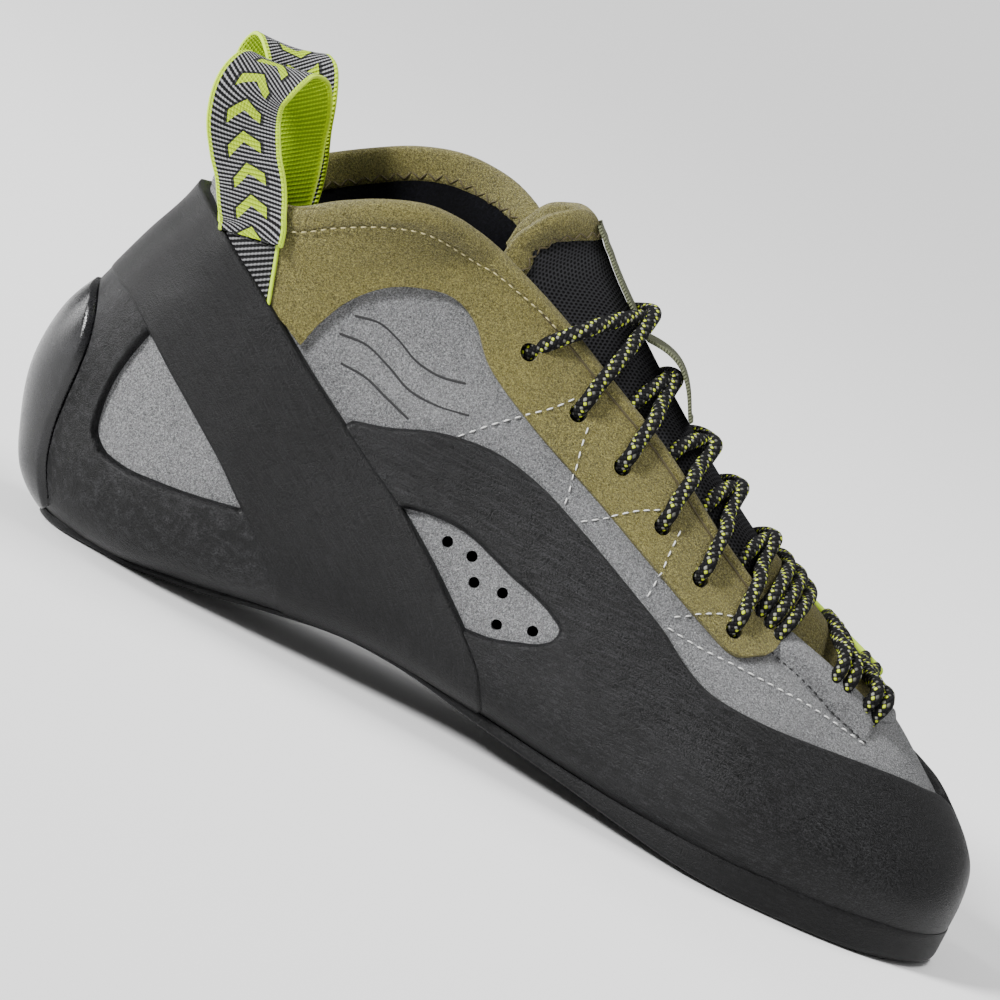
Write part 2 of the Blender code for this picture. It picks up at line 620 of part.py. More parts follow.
def build_insole(surface, collection):
    u, lateral, medial = sole_plan(-2.4 * FEATHER_RISE, 20)
    t = np.linspace(0, 1, 5)[None, :]
    grid = np.stack([np.broadcast_to(u[:, None], (len(u), 5)), lateral[:, None] * (1 - t) + medial[:, None] * t], -1)
    shell("insole", [grid], -0.0001, INSOLE_WALL, surface, collection, True)


def tongue_edge(side):
    """Side edge of the tongue under the flap, from the toe end to its lower back corner."""
    front = crown_at(THROAT_END_X) - 0.012
    corner = on_side(TONGUE_TOP[:1], side)[0]
    u = np.linspace(front, corner[0] - 0.13, 14)
    w = throat_width(np.maximum(u, crown_at(THROAT_END_X) + 0.012), side)
    w = w - side * TONGUE_TUCK * np.clip((u - front) / 0.03, 0.3, 1)
    return np.concatenate([np.stack([u, w], 1), [corner]])


def tongue_lift(grid):
    """The tongue lies under the wall and swells up between the flaps."""
    u, w = grid[..., 0], grid[..., 1]
    edge = np.abs(np.where(w < 0, throat_width(u, LATERAL), throat_width(u, MEDIAL)))
    free = np.clip((np.abs(w) - edge - 0.03) / (1.99 - edge) * 1.6, 0, 1)
    past = np.clip((u - crown_at(THROAT_END_X) - 0.004) / 0.03, 0, 1)
    return -(UPPER_WALL + GAP + 0.0004) + TONGUE_CROWN * free**2 * (3 - 2 * free) * past


def tongue_grid(side):
    bottom = spaced(tongue_edge(side), 20)
    top = np.stack([np.linspace(bottom[0, 0], TONGUE_CROWN_U, 20), np.full(20, side * 2.0)], 1)
    end = np.concatenate([on_side(TONGUE_TOP, side), [[TONGUE_CROWN_U, side * 2.0]]])
    right = spaced(end, 6)
    return coons(bottom, spaced(top, 20), straight(bottom[0], top[0], 6), right)


def build_tongue(surface, collection):
    shell("tongue", [tongue_grid(LATERAL), tongue_grid(MEDIAL)], tongue_lift, TONGUE_WALL, surface, collection, True)


def build_strap(surface, collection):
    """Sling strap from arch to arch round the back of the heel."""
    grids = []
    for side in (LATERAL, MEDIAL):
        crowd = 1 - (1 - np.linspace(0, 1, 22)) ** 1.25
        upper, lower = (spaced(smooth_side(edge, side, 60, True), crowd) for edge in (STRAP_UPPER, STRAP_LOWER))
        for line in (upper, lower):
            line[-1, 1] = feather(line[-1:, 0], side)[0]
        grids.append(ruled(lower, upper, 4))
    shell("sling_strap", grids, SEAT_GAP, STRAP_WALL, surface, collection)


def build_front_rand(surface, collection, windows):
    grids = []
    for side in (LATERAL, MEDIAL):
        strap = smooth_side(shifted(STRAP_UPPER, EDGE_GAP)[4:], side, 30)
        strap[-1, 1] = feather(strap[-1:, 0], side)[0]
        top = smooth_side(RAND_TOP, side, 90)[::-1]
        start = int(np.argmin(((last(*strap.T) - last(*top[-1])) ** 2).sum(1)))
        right = spaced(strap[start:][::-1], np.linspace(0, 1, 7) ** 1.5)
        top[-1] = right[-1]
        cross = crown_at(RAND_CROSS_X)
        join = straight(np.array([cross, side * 2.0]), top[0], 6)[:-1]
        top = np.concatenate([join, top])
        if side == MEDIAL:
            near = np.clip(1 - (top[:, 0] - cross) / 0.25, 0, 1)
            top[:, 1] = np.minimum(top[:, 1] + RAND_MEDIAL_RISE * near, 2.0)
        toe = feather_ends(0.0)[0]
        turn = on_side([(0.62, 0.2)], side)[0][0]
        u = toe + (right[0, 0] - toe) * (1 - np.cos(np.linspace(0, np.pi * 0.62, 17))) / (1 - np.cos(np.pi * 0.62))
        front = np.concatenate([toe_stations(0.0, 5)[:-1], u[u <= turn], [cross]])
        front = np.sort(front)
        rising = np.maximum.accumulate(top[:, 0])
        above = np.where(front <= cross, side * 2.0, np.interp(front, rising, top[:, 1]))
        low = np.stack([front, feather(front, side)], 1)
        grids.append(ruled(low, np.stack([front, above], 1), 6, 1.5))
        rest = np.linspace(front[-1], right[0, 0], 13)
        bottom = np.stack([rest, feather(rest, side)], 1)
        bottom[-1] = right[0]
        begin = int(np.argmax(rising > front[-1]))
        high = np.concatenate([[[front[-1], above[-1]]], top[begin:]])
        left = ruled(bottom[:1], high[:1], 6, 1.5)[0]
        grids.append(coons(bottom, spaced(high, 13), left, right))
    made = shell("front_rand", grids, RAND_SEAT_GAP, RAND_WALL, surface, collection)
    cut(made, windows)


def build_heel_rand(name, side, surface, collection, windows):
    crowd = np.linspace(0, 1, 10) ** 1.4
    patch = spaced(smooth_side(shifted(HEEL_PATCH, EDGE_GAP)[1:], side, 20)[::-1], crowd)
    strap = spaced(smooth_side(shifted(STRAP_LOWER, -EDGE_GAP)[1:], side, 20)[::-1], crowd)
    patch[0, 1] = feather(patch[:1, 0], side)[0]
    strap[0, 1] = feather(strap[:1, 0], side)[0]
    u = np.linspace(patch[0, 0], strap[0, 0], 12)
    bottom = np.stack([u, feather(u, side)], 1)
    bottom[0], bottom[-1] = patch[0], strap[0]
    grid = coons(bottom, straight(patch[-1], strap[-1], 12), patch, strap)
    made = shell(name, [grid], HEEL_SEAT_GAP, RAND_WALL, surface, collection)
    cut(made, windows)


def build_heel_patch(surface, collection):
    lateral, medial = (smooth_side(HEEL_PATCH, side, 11) for side in (LATERAL, MEDIAL))
    for line, side in ((lateral, LATERAL), (medial, MEDIAL)):
        line[-1, 1] = feather(line[-1:, 0], side)[0]
    crown = on_side([(0.0300, HEEL_PATCH_TOP)], LATERAL)[0]
    heel = feather_ends(0.0)[1]
    middle = np.stack([np.linspace(crown[0], heel, 11), np.zeros(11)], 1)
    grids = [ruled(lateral, middle, 4), ruled(medial, middle, 4)]
    shell("heel_patch", grids, HEEL_SEAT_GAP, HEEL_PATCH_WALL, surface, collection)


def build_facing(name, side, surface, collection, holes):
    """Folded collar and eyestay, up to the edge of the opening."""
    table = FACING.copy()
    if side == MEDIAL:
        rise = np.interp(table[:, 2], OPENING[:, 0], OPENING[:, 2] - OPENING[:, 1])
        table[:, 3] += rise
    run = np.linspace(0, 1, len(table))
    dense = hermite(run, table, np.linspace(0, 1, 24))
    low, high = on_side(dense[:, :2], side), on_side(dense[:, 2:], side)
    left = spaced(np.concatenate([low[:1], on_side(FACING_BACK, side), high[:1]]), 5)
    grid = coons(low, high, left, straight(low[-1], high[-1], 5))
    made = shell(name, [grid], FACING_SEAT_GAP, FACING_WALL, surface, collection)
    cut(made, holes)


def eyelet_points(side):
    return on_side(EYELETS, side)


def build_eyelet_holes(collection):
    """One cylinder along the wall's normal at each eyelet."""
    bm = bmesh.new()
    for side in (LATERAL, MEDIAL):
        for uw in eyelet_points(side):
            made = bmesh.ops.create_cone(bm, cap_ends=True, segments=8, radius1=EYELET_BORE / 2,
                                         radius2=EYELET_BORE / 2, depth=4 * UPPER_WALL)
            normal = outward(uw[0], uw[1])
            across = np.cross([1.0, 0.0, 0.0], normal)
            across /= np.linalg.norm(across)
            turn = np.stack([across, np.cross(normal, across), normal], 1)
            place = skin(uw, 0.0)
            for vert in made["verts"]:
                vert.co = turn @ np.array(vert.co) + place
    mesh = bpy.data.meshes.new("eyelet_holes")
    bm.to_mesh(mesh)
    bm.free()
    holes = bpy.data.objects.new("eyelet_holes", mesh)
    collection.objects.link(holes)
    return as_cutter(holes)


def lace_path(start, end, lifts, crown, count=9):
    """Over one flap, the tongue and the other flap, in (u, w) with w running over the crown."""
    t = np.linspace(0, 1, count)
    far = end[1] - 4.0 if start[1] < 0 else end[1] + 4.0
    bow = ((start[0] + end[0]) / 2 - crown) * np.sin(np.pi * t) ** 2
    uw = np.stack([start[0] + (end[0] - start[0]) * t - bow, start[1] + (far - start[1]) * t], 1)
    return skin(uw, np.interp(t, np.linspace(0, 1, len(lifts)), lifts))


def joined_tubes(name, paths, surface, collection):
    tubes = meshed(name, [tube_curve(name, p, LACE_DIAMETER) for p in paths], surface, collection)
    for extra in tubes[1:]:
        union = tubes[0].modifiers.new("Join", "BOOLEAN")
        union.operation = "UNION"
        union.solver = "EXACT"
        union.object = extra
        as_cutter(extra)
    return tubes


def build_laces(surface, collection, cutters):
    """Each crossing is two bars: out of an eyelet, over the flap, and down to the other flap's edge."""
    over = FACING_WALL + FACING_SEAT_GAP + LACE_DIAMETER / 2 + GAP
    eyelets = {side: eyelet_points(side) for side in (LATERAL, MEDIAL)}
    for i in range(1, len(EYELETS)):
        rest = LACE_DIAMETER / 2 + (LACE_OVER_KEEPER if i == 1 else LACE_OVER_TONGUE)
        paths = []
        for side in (LATERAL, MEDIAL):
            start, end = eyelets[side][i], eyelets[-side][i - 1].copy()
            top_end = i == 1 and side == MEDIAL
            if not top_end:
                end[0] += 0.62 * (start[0] - end[0])
                end[1] = throat_width(end[:1], -side)[0] - side * 0.05
            middle = rest + (0.0010 if side == LATERAL else 0.0)
            lifts = [over, over + 0.0004, middle, middle, middle - 0.0004, over if top_end else rest]
            paths.append(lace_path(start, end, lifts, crown_at(LACE_CROWNS[i - 1])))
        for extra in joined_tubes(f"lace_crossing_{i}", paths, surface, collection)[1:]:
            collection.objects.unlink(extra)
            cutters.objects.link(extra)
    for number, share in enumerate(LACE_BARS):
        u = crown_at(share)
        ends = [(u - side * LACE_BAR_SLANT, throat_width(np.array([u]), side)[0] - side * 0.05)
                for side in (LATERAL, MEDIAL)]
        rest = LACE_DIAMETER / 2 + LACE_OVER_TONGUE
        path = lace_path(*ends, [rest, rest + 0.0008, rest + 0.0012, rest + 0.0008, rest], u - 0.012, 9)
        meshed(f"lace_bar_{number + 1}", [tube_curve("bar", path, LACE_DIAMETER)], surface, collection)


def ribbon(name, centres, across, wall, surface, collection):
    """Webbing of one width along a line, with its thickness by Solidify."""
    grid = np.stack([centres - across, centres + across], 1)
    made = add_object(name, grid_mesh(name, [grid]), surface, collection)
    solid = made.modifiers.new("Wall", "SOLIDIFY")
    solid.thickness = wall
    solid.offset = 0.0
    solid.use_quality_normals = True


def build_pull_loop(name, side, surface, collection):
    run = np.linspace(0, 1, len(PULL_LOOP))
    rows = hermite(run, PULL_LOOP, np.linspace(0, 1, 23))
    centres, slope, turn = rows[:, :3].copy(), np.radians(rows[:, 3]), np.radians(rows[:, 4])
    if side == MEDIAL:
        top = np.sin(np.pi * np.linspace(0, 1, 23)) ** 2
        centres[:, 2] += MEDIAL_LOOP_RISE * top
        centres[:, 0] += 0.4 * MEDIAL_LOOP_RISE * top
    across = np.stack([np.cos(slope), np.sin(turn), np.sin(slope)], 1)
    tangent = np.gradient(centres, axis=0)
    tangent /= np.linalg.norm(tangent, axis=1, keepdims=True)
    across -= tangent * (across * tangent).sum(1, keepdims=True)
    across *= WEBBING_WIDTH / 2 / np.linalg.norm(across, axis=1, keepdims=True)
    if side == MEDIAL:
        centres[:, 1] *= -1
        across[:, 1] *= -1
    ribbon(name, centres, across, WEBBING_WALL, surface, collection)


def build_keeper(surface, collection):
    """Lace keeper down the middle of the tongue, with its free loop between two crossings."""
    u = np.linspace(KEEPER_START_U, crown_at(KEEPER_LOOP[1]) - 0.004, 19)
    place = np.stack([u, np.full(19, 2.0)], 1)
    base = tongue_lift(place) + GAP + KEEPER_WALL
    start, end = crown_at(KEEPER_LOOP[0]), crown_at(KEEPER_LOOP[1])
    bulge = np.clip((u - end) / (start - end), 0, 1)
    lift = base + KEEPER_LOOP_RISE * np.sin(np.pi * bulge) ** 0.7
    centres = skin(place, lift)
    across = np.tile([0.0, KEEPER_WIDTH / 2, 0.0], (19, 1))
    ribbon("lace_keeper", centres, across, KEEPER_WALL, surface, collection)


def main():
    for obj in list(bpy.data.objects):
        bpy.data.objects.remove(obj)
    collection = bpy.data.collections.new("climbing_shoe")
    cutters = bpy.data.collections.new("cutters")
    for made in (collection, cutters):
        bpy.context.scene.collection.children.link(made)

    suede = material("grey_suede", (0.23, 0.23, 0.24), 0.95)
    facing = material("olive_suede", (0.20, 0.17, 0.06), 0.95)
    rubber = material("black_rubber", (0.018, 0.018, 0.019), 0.5)
    gloss = material("heel_rubber", (0.03, 0.03, 0.032), 0.3)
    mesh = material("black_mesh", (0.02, 0.02, 0.022), 0.9)
    board = material("insole_board", (0.05, 0.05, 0.05), 0.95)
    webbing = material("webbing", (0.09, 0.09, 0.09), 0.8)
    keeper = material("keeper_webbing", (0.22, 0.24, 0.14), 0.8)
    cord = material("lace_cord", (0.04, 0.045, 0.02), 0.8)

    holes = build_eyelet_holes(cutters)
    arch = as_cutter(prism("arch_window", ARCH_WINDOW, -BALL_WIDTH / 2, BALL_WIDTH / 2, cutters))
    heel = as_cutter(prism("heel_window", HEEL_WINDOW, 0.0, BALL_WIDTH, cutters))
    build_upper(suede, collection, holes)
    build_outsole(rubber, collection)
    build_insole(board, collection)
    build_tongue(mesh, collection)
    build_strap(rubber, collection)
    build_front_rand(rubber, collection, arch)
    build_heel_rand("heel_rand_lateral", LATERAL, rubber, collection, heel)
    build_heel_rand("heel_rand_medial", MEDIAL, rubber, collection, heel)
    build_heel_patch(gloss, collection)
    build_facing("facing_lateral", LATERAL, facing, collection, holes)
    build_facing("facing_medial", MEDIAL, facing, collection, holes)
    build_laces(cord, collection, cutters)
    build_pull_loop("pull_loop_lateral", LATERAL, webbing, collection)
    build_pull_loop("pull_loop_medial", MEDIAL, webbing, collection)
    build_keeper(keeper, collection)
    for made in (*collection.objects, *cutters.objects):
        made.location.x -= HEEL_REST_X


if __name__ == "__main__":
    main()
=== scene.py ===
"""Climbing shoe, right foot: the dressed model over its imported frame.

Metres, +Z up, +X toward the toe, +Y medial. Every piece is laid over one last: sections
that run from the toe tip (u = 0) to the ankle (u = 1). Round each section w
runs from 0 at the base centre to 1 at the widest point and 2 at the crown, negative on the lateral
side. Tables give points of the side view as shares of the length and the ankle height.
"""

import bmesh
import bpy
import numpy as np
from mathutils import Matrix, Vector


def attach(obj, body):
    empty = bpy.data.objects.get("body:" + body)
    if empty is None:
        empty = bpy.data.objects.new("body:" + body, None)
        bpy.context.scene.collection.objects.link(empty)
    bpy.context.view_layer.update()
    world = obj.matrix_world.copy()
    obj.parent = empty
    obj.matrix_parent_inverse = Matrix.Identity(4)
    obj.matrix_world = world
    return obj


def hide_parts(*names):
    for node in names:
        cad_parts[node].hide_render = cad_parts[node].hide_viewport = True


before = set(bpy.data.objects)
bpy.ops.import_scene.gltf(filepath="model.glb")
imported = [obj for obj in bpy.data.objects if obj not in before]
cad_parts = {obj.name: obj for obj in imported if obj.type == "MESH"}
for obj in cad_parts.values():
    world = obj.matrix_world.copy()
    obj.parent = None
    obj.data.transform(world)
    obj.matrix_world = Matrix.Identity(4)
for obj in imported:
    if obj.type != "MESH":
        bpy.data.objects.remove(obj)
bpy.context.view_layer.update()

# Driving sizes, as in the solids
LENGTH = 0.268
ANKLE_HEIGHT = 0.122
BALL_WIDTH = 0.092
HEEL_REST_X = 0.030
TOE_TIP_X = 0.2666
TOE_TIP_Z = 0.014
TOE_ROUND_X = 0.205
PLAN_POWER = 2.4
CROWN_POWER = 4.0
BASE_POWER = 5.0

UPPER_WALL = 0.002
TONGUE_WALL = 0.0022
RAND_HEIGHT = 0.0024
STRAP_HEIGHT = 0.0029
HEEL_RAND_HEIGHT = 0.0026
HEEL_PATCH_HEIGHT = 0.0039
HEEL_PATCH_BULGE = 0.0007
FACING_SEAT_GAP = 0.0009
FACING_WALL = 0.0012
WEBBING_WALL = 0.0013
WEBBING_WIDTH = 0.0172
KEEPER_WALL = 0.0009
KEEPER_WIDTH = 0.0105
LACE_DIAMETER = 0.0039
LACE_FLAT = 0.92
LACE_EYELET = -0.0012
EYELET_BORE = 0.0046
PERFORATION_BORE = 0.0028
RIDGE_HEIGHT = 0.0036
RIDGE_GROOVE = 0.0013
UNEVENNESS = 0.00012
SOLE_BEVEL = 0.0012
SOLE_TOE_RISE = 0.0026
SOLE_EDGE_ROUND = 0.0006
FEATHER_RISE = 0.00035
TONGUE_TUCK = 0.16
TONGUE_CROWN = 0.0019
TONGUE_DEPTH = 0.0027
COLLAR_HEM = 0.0048
EYESTAY_HEM = 0.0027
BINDING_WIDTH = 0.0066
THROAT_CURL = 0.006
FACING_NOSE = 0.006
PIPING_RADIUS = 0.0015
PIPING_OUT = 0.0052
PIPING_UP = 0.0020
PIPING_SPAN = (0.705, 0.835)

# How far rolled edges end under the last, and rands run on under the strap
EDGE_SINK = 0.0004
UNDER_STRAP = 0.0022
CUTTER_LENGTH = 0.009
# Width of a cord's very end as a share of its radius, and how close points weld on thin cords
CORD_TIP = 0.02
FINE_WELD = 1e-7

# Weaves, and the colour of the lime parts
CHEVRON_PITCH = 0.0078
CHEVRON_SHARE = 0.34
SELVEDGE = 0.0007
BRAID_PITCH = 0.00115
LIME = (0.52, 0.74, 0.004)

LATERAL, MEDIAL = -1, 1

# Sections of the last, toe tip first. Base and crown points as shares of the length and the ankle
# height, half widths and centre as shares of the ball width, belly height as a share of the section,
# then how square the four quarters of each side are.
# base x, base z, crown x, crown z, lateral, medial, centre, belly, low base, low side, cheek, roof
SECTIONS = np.array([
    (0.995, 0.034, 0.995, 0.250, 0.473, 0.353, 0.060, 0.36, 1.00, 0.94, 0.42, 0.42),
    (0.933, 0.034, 0.933, 0.328, 0.473, 0.380, 0.056, 0.30, 1.00, 0.96, 0.38, 0.38),
    (0.877, 0.037, 0.877, 0.402, 0.475, 0.413, 0.050, 0.27, 1.00, 0.96, 0.32, 0.34),
    (0.821, 0.043, 0.821, 0.466, 0.484, 0.435, 0.043, 0.25, 1.00, 0.96, 0.28, 0.30),
    (0.746, 0.049, 0.746, 0.551, 0.500, 0.456, 0.033, 0.24, 1.00, 0.96, 0.27, 0.28),
    (0.672, 0.057, 0.672, 0.633, 0.478, 0.446, 0.024, 0.25, 1.00, 0.95, 0.28, 0.28),
    (0.597, 0.068, 0.597, 0.734, 0.446, 0.413, 0.016, 0.26, 0.98, 0.92, 0.30, 0.30),
    (0.504, 0.085, 0.545, 0.811, 0.408, 0.375, 0.011, 0.27, 0.94, 0.88, 0.32, 0.32),
    (0.403, 0.097, 0.504, 0.877, 0.370, 0.342, 0.005, 0.28, 0.90, 0.84, 0.36, 0.34),
    (0.299, 0.074, 0.474, 0.926, 0.342, 0.326, 0.000, 0.30, 0.87, 0.80, 0.42, 0.38),
    (0.205, 0.036, 0.453, 0.963, 0.332, 0.321, 0.000, 0.33, 0.84, 0.76, 0.46, 0.42),
    (0.131, 0.017, 0.440, 0.988, 0.326, 0.318, 0.000, 0.36, 0.80, 0.70, 0.48, 0.44),
    (0.075, 0.033, 0.431, 1.007, 0.321, 0.315, 0.000, 0.38, 0.66, 0.61, 0.50, 0.45),
    (0.045, 0.082, 0.425, 1.018, 0.315, 0.311, 0.000, 0.40, 0.60, 0.57, 0.50, 0.45),
    (0.026, 0.172, 0.421, 1.028, 0.308, 0.304, 0.000, 0.41, 0.58, 0.56, 0.50, 0.45),
    (0.013, 0.287, 0.416, 1.037, 0.300, 0.299, 0.000, 0.42, 0.58, 0.56, 0.50, 0.45),
    (0.016, 0.393, 0.412, 1.045, 0.293, 0.293, 0.000, 0.43, 0.58, 0.56, 0.50, 0.45),
    (0.032, 0.500, 0.409, 1.053, 0.293, 0.293, 0.000, 0.44, 0.58, 0.56, 0.50, 0.45),
    (0.050, 0.615, 0.405, 1.061, 0.302, 0.302, 0.000, 0.44, 0.58, 0.56, 0.50, 0.45),
    (0.069, 0.721, 0.401, 1.070, 0.313, 0.313, 0.000, 0.45, 0.58, 0.56, 0.50, 0.45),
    (0.078, 0.820, 0.397, 1.080, 0.324, 0.324, 0.000, 0.46, 0.58, 0.56, 0.50, 0.45),
    (0.082, 0.918, 0.394, 1.094, 0.335, 0.335, 0.000, 0.46, 0.58, 0.56, 0.50, 0.45),
])

# Underside of the sole: flat at heel and forefoot, arched between, with a little toe spring.
# x share of the length, height share of the ankle height
GROUND = np.array([
    (0.000, 0.0000), (0.075, 0.0000), (0.160, 0.0000), (0.216, 0.0180), (0.299, 0.0530),
    (0.358, 0.0740), (0.410, 0.0800), (0.448, 0.0760), (0.522, 0.0580), (0.597, 0.0420),
    (0.672, 0.0230), (0.746, 0.0060), (0.795, 0.0000), (0.918, 0.0000), (0.970, 0.0040),
    (1.000, 0.0090),
])
# Top edge of the sole round the shoe, where rands and upper end, in the same columns
RIM = np.array([
    (0.000, 0.047), (0.090, 0.036), (0.150, 0.032), (0.205, 0.050), (0.250, 0.068),
    (0.299, 0.086), (0.362, 0.102), (0.410, 0.110), (0.448, 0.109), (0.522, 0.102),
    (0.597, 0.091), (0.672, 0.081), (0.746, 0.074), (0.821, 0.067), (0.896, 0.060), (0.951, 0.057),
    (1.000, 0.057),
])
# Edge of the collar and throat, from the back of the heel to the toe end of the throat.
# x share of the length, lateral and medial height shares of the ankle height
OPENING = np.array([
    (0.077, 0.807, 0.807), (0.112, 0.808, 0.828), (0.155, 0.820, 0.890), (0.190, 0.872, 0.938),
    (0.226, 0.916, 0.982), (0.263, 0.943, 1.011), (0.295, 0.943, 1.020), (0.332, 0.925, 1.013),
    (0.372, 0.893, 0.977), (0.418, 0.852, 0.906), (0.485, 0.781, 0.803), (0.557, 0.705, 0.713),
    (0.631, 0.607, 0.611), (0.687, 0.541, 0.541), (0.724, 0.502, 0.502), (0.769, 0.467, 0.467),
    (0.820, 0.431, 0.431), (0.843, 0.415, 0.415),
])
THROAT_END_X = 0.858
# x shares between which the facing folds over the edge
FACED_FROM = 0.143
FACED_TO = 0.722

# Facing of the collar and eyestay. Lower edge x and height shares, then the points above them
# on the edge of the opening
FACING = np.array([
    (0.2155, 0.590, 0.1450, 0.8165), (0.2225, 0.648, 0.1860, 0.867), (0.2370, 0.713, 0.2260, 0.916),
    (0.2610, 0.767, 0.2630, 0.943), (0.2910, 0.797, 0.2950, 0.943), (0.3210, 0.805, 0.3320, 0.925),
    (0.3490, 0.776, 0.3720, 0.893), (0.3800, 0.710, 0.4180, 0.852), (0.4440, 0.639, 0.4850, 0.781),
    (0.5170, 0.576, 0.5570, 0.705), (0.5900, 0.508, 0.6310, 0.607), (0.6570, 0.446, 0.6870, 0.541),
    (0.6940, 0.419, 0.7100, 0.517), (0.7200, 0.438, 0.7220, 0.503),
])
FACING_BACK = np.array([(0.1960, 0.612), (0.1740, 0.640), (0.1560, 0.700)])
# Sling strap: upper and lower edge from the back of the heel down to the arch, x and height shares
STRAP_UPPER = np.array([
    (0.0735, 0.766), (0.0840, 0.755), (0.1290, 0.700), (0.1790, 0.633), (0.2380, 0.551),
    (0.3170, 0.451), (0.3690, 0.389), (0.4090, 0.331), (0.4390, 0.282), (0.4730, 0.222),
    (0.4950, 0.179), (0.5160, 0.113),
])
STRAP_LOWER = np.array([
    (0.0330, 0.512), (0.0560, 0.506), (0.0920, 0.463), (0.1200, 0.422), (0.1560, 0.370),
    (0.1910, 0.318), (0.2260, 0.257), (0.2630, 0.193), (0.2900, 0.135), (0.3060, 0.092),
])
# Front edge of the heel patch, from its top down to the sole
HEEL_PATCH = np.array([
    (0.0290, 0.488), (0.0385, 0.452), (0.0460, 0.398), (0.0490, 0.331), (0.0500, 0.263),
    (0.0530, 0.193), (0.0600, 0.130), (0.0700, 0.083), (0.0790, 0.050),
])
HEEL_PATCH_X = 0.0300
HEEL_PATCH_TOP = 0.492
# Upper edge of the front rand on the lateral side, strap to toe, then where it crosses the toe
# and how far in w the medial edge is above it
RAND_TOP = np.array([
    (0.2865, 0.502), (0.3160, 0.519), (0.3610, 0.556), (0.4190, 0.572), (0.4690, 0.552),
    (0.5160, 0.514), (0.5900, 0.445), (0.6250, 0.410), (0.6620, 0.363), (0.6850, 0.343),
    (0.7090, 0.334), (0.7350, 0.330), (0.8110, 0.329), (0.8500, 0.329), (0.8890, 0.325),
    (0.9240, 0.312),
])
RAND_CROSS_X = 0.953
RAND_MEDIAL_RISE = 0.10
# Window in the heel rand: its edge from the strap down and forward to the strap again
HEEL_WINDOW = np.array([
    (0.0885, 0.4680), (0.0820, 0.4110), (0.0780, 0.3380), (0.0795, 0.2820), (0.0860, 0.2340),
    (0.0980, 0.2120), (0.1180, 0.2040), (0.1550, 0.2110), (0.1910, 0.2230), (0.2330, 0.2420),
])
# Edge of the arch window, from the strap round its nose and back to the strap
ARCH_WINDOW_EDGE = np.array([
    (0.3650, 0.3930), (0.3840, 0.4030), (0.4050, 0.4075), (0.4320, 0.4035), (0.4560, 0.3880),
    (0.4810, 0.3710), (0.5120, 0.3540), (0.5290, 0.3390), (0.5410, 0.3200), (0.5400, 0.3010),
    (0.5320, 0.2830), (0.5110, 0.2620), (0.4900, 0.2450), (0.4610, 0.2370),
])
PERFORATIONS = np.array([
    (0.4146, 0.3746), (0.4403, 0.3713), (0.4526, 0.3270), (0.4799, 0.3352), (0.5198, 0.2959),
    (0.4881, 0.2730),
])
# Stitched seams of the lateral side, in x and height shares
SEAMS = {
    "ankle": [(0.3787, 0.5631), (0.4022, 0.6148), (0.4246, 0.6574), (0.4448, 0.6934), (0.4601, 0.7295)],
    "quarter_1": [(0.4813, 0.6934), (0.4832, 0.6631), (0.4884, 0.6115), (0.4929, 0.5689), (0.4951, 0.5361)],
    "quarter_2": [(0.5131, 0.5230), (0.5362, 0.5549), (0.5552, 0.5836), (0.5761, 0.6049)],
    "quarter_3": [(0.5993, 0.5877), (0.5993, 0.5320), (0.6007, 0.4893), (0.5993, 0.4492)],
    "quarter_4": [(0.6280, 0.4385), (0.6459, 0.4566), (0.6657, 0.4730), (0.6802, 0.4779)],
    "toe": [(0.6265, 0.4180), (0.6642, 0.4082), (0.7015, 0.4049), (0.7384, 0.3992), (0.7772, 0.3910),
            (0.8160, 0.3754), (0.8463, 0.3607)],
}
RIDGE_SEAM = [
    (0.7246, 0.4525), (0.7526, 0.4377), (0.7791, 0.4189), (0.8037, 0.3967), (0.8287, 0.3779),
    (0.8463, 0.3631),
]
# Plain embossed lines on the ankle patch
PATCH_LINES = [
    [(0.2480, 0.6900), (0.2700, 0.6980), (0.2920, 0.6850),
     (0.3160, 0.6620), (0.3420, 0.6560), (0.3640, 0.6650)],
    [(0.2430, 0.6450), (0.2680, 0.6480), (0.2940, 0.6300),
     (0.3220, 0.6050), (0.3500, 0.6020), (0.3800, 0.6120)],
    [(0.2560, 0.5930), (0.2800, 0.5900), (0.3060, 0.5720), (0.3320, 0.5540)],
]
# Centres of the eyelets on both facings, top pair first
EYELETS = np.array([
    (0.403, 0.772), (0.468, 0.705), (0.526, 0.648), (0.583, 0.578), (0.635, 0.518), (0.684, 0.457),
])
# Free edge of the tongue, from its lower back corner round to the crown
TONGUE_TOP = np.array([
    (0.3500, 0.920), (0.3550, 0.958), (0.3675, 1.010), (0.3860, 1.050),
])
TONGUE_CROWN_U = 0.925
# Keeper on the crown: where it starts, and its free loop over the second crossing, in x shares
KEEPER_START_U = 0.86
KEEPER_LOOP = (0.498, 0.566)
KEEPER_BULGE = 0.0042
# Where the lace crossings meet on the crown, top one first, as x shares of the length
LACE_CROWNS = (0.483, 0.534, 0.593, 0.634, 0.684)
# Strands over the lower throat: x shares at the lateral edge, the crown and the medial edge,
# and extra height
LACE_PASSES = [
    [(0.724, 0.739, 0.705, 0.0), (0.711, 0.724, 0.692, 0.0004), (0.699, 0.709, 0.680, 0.0)],
    [(0.789, 0.773, 0.762, 0.0), (0.803, 0.787, 0.776, 0.0)],
    [(0.829, 0.819, 0.812, 0.0), (0.842, 0.832, 0.825, 0.0)],
]

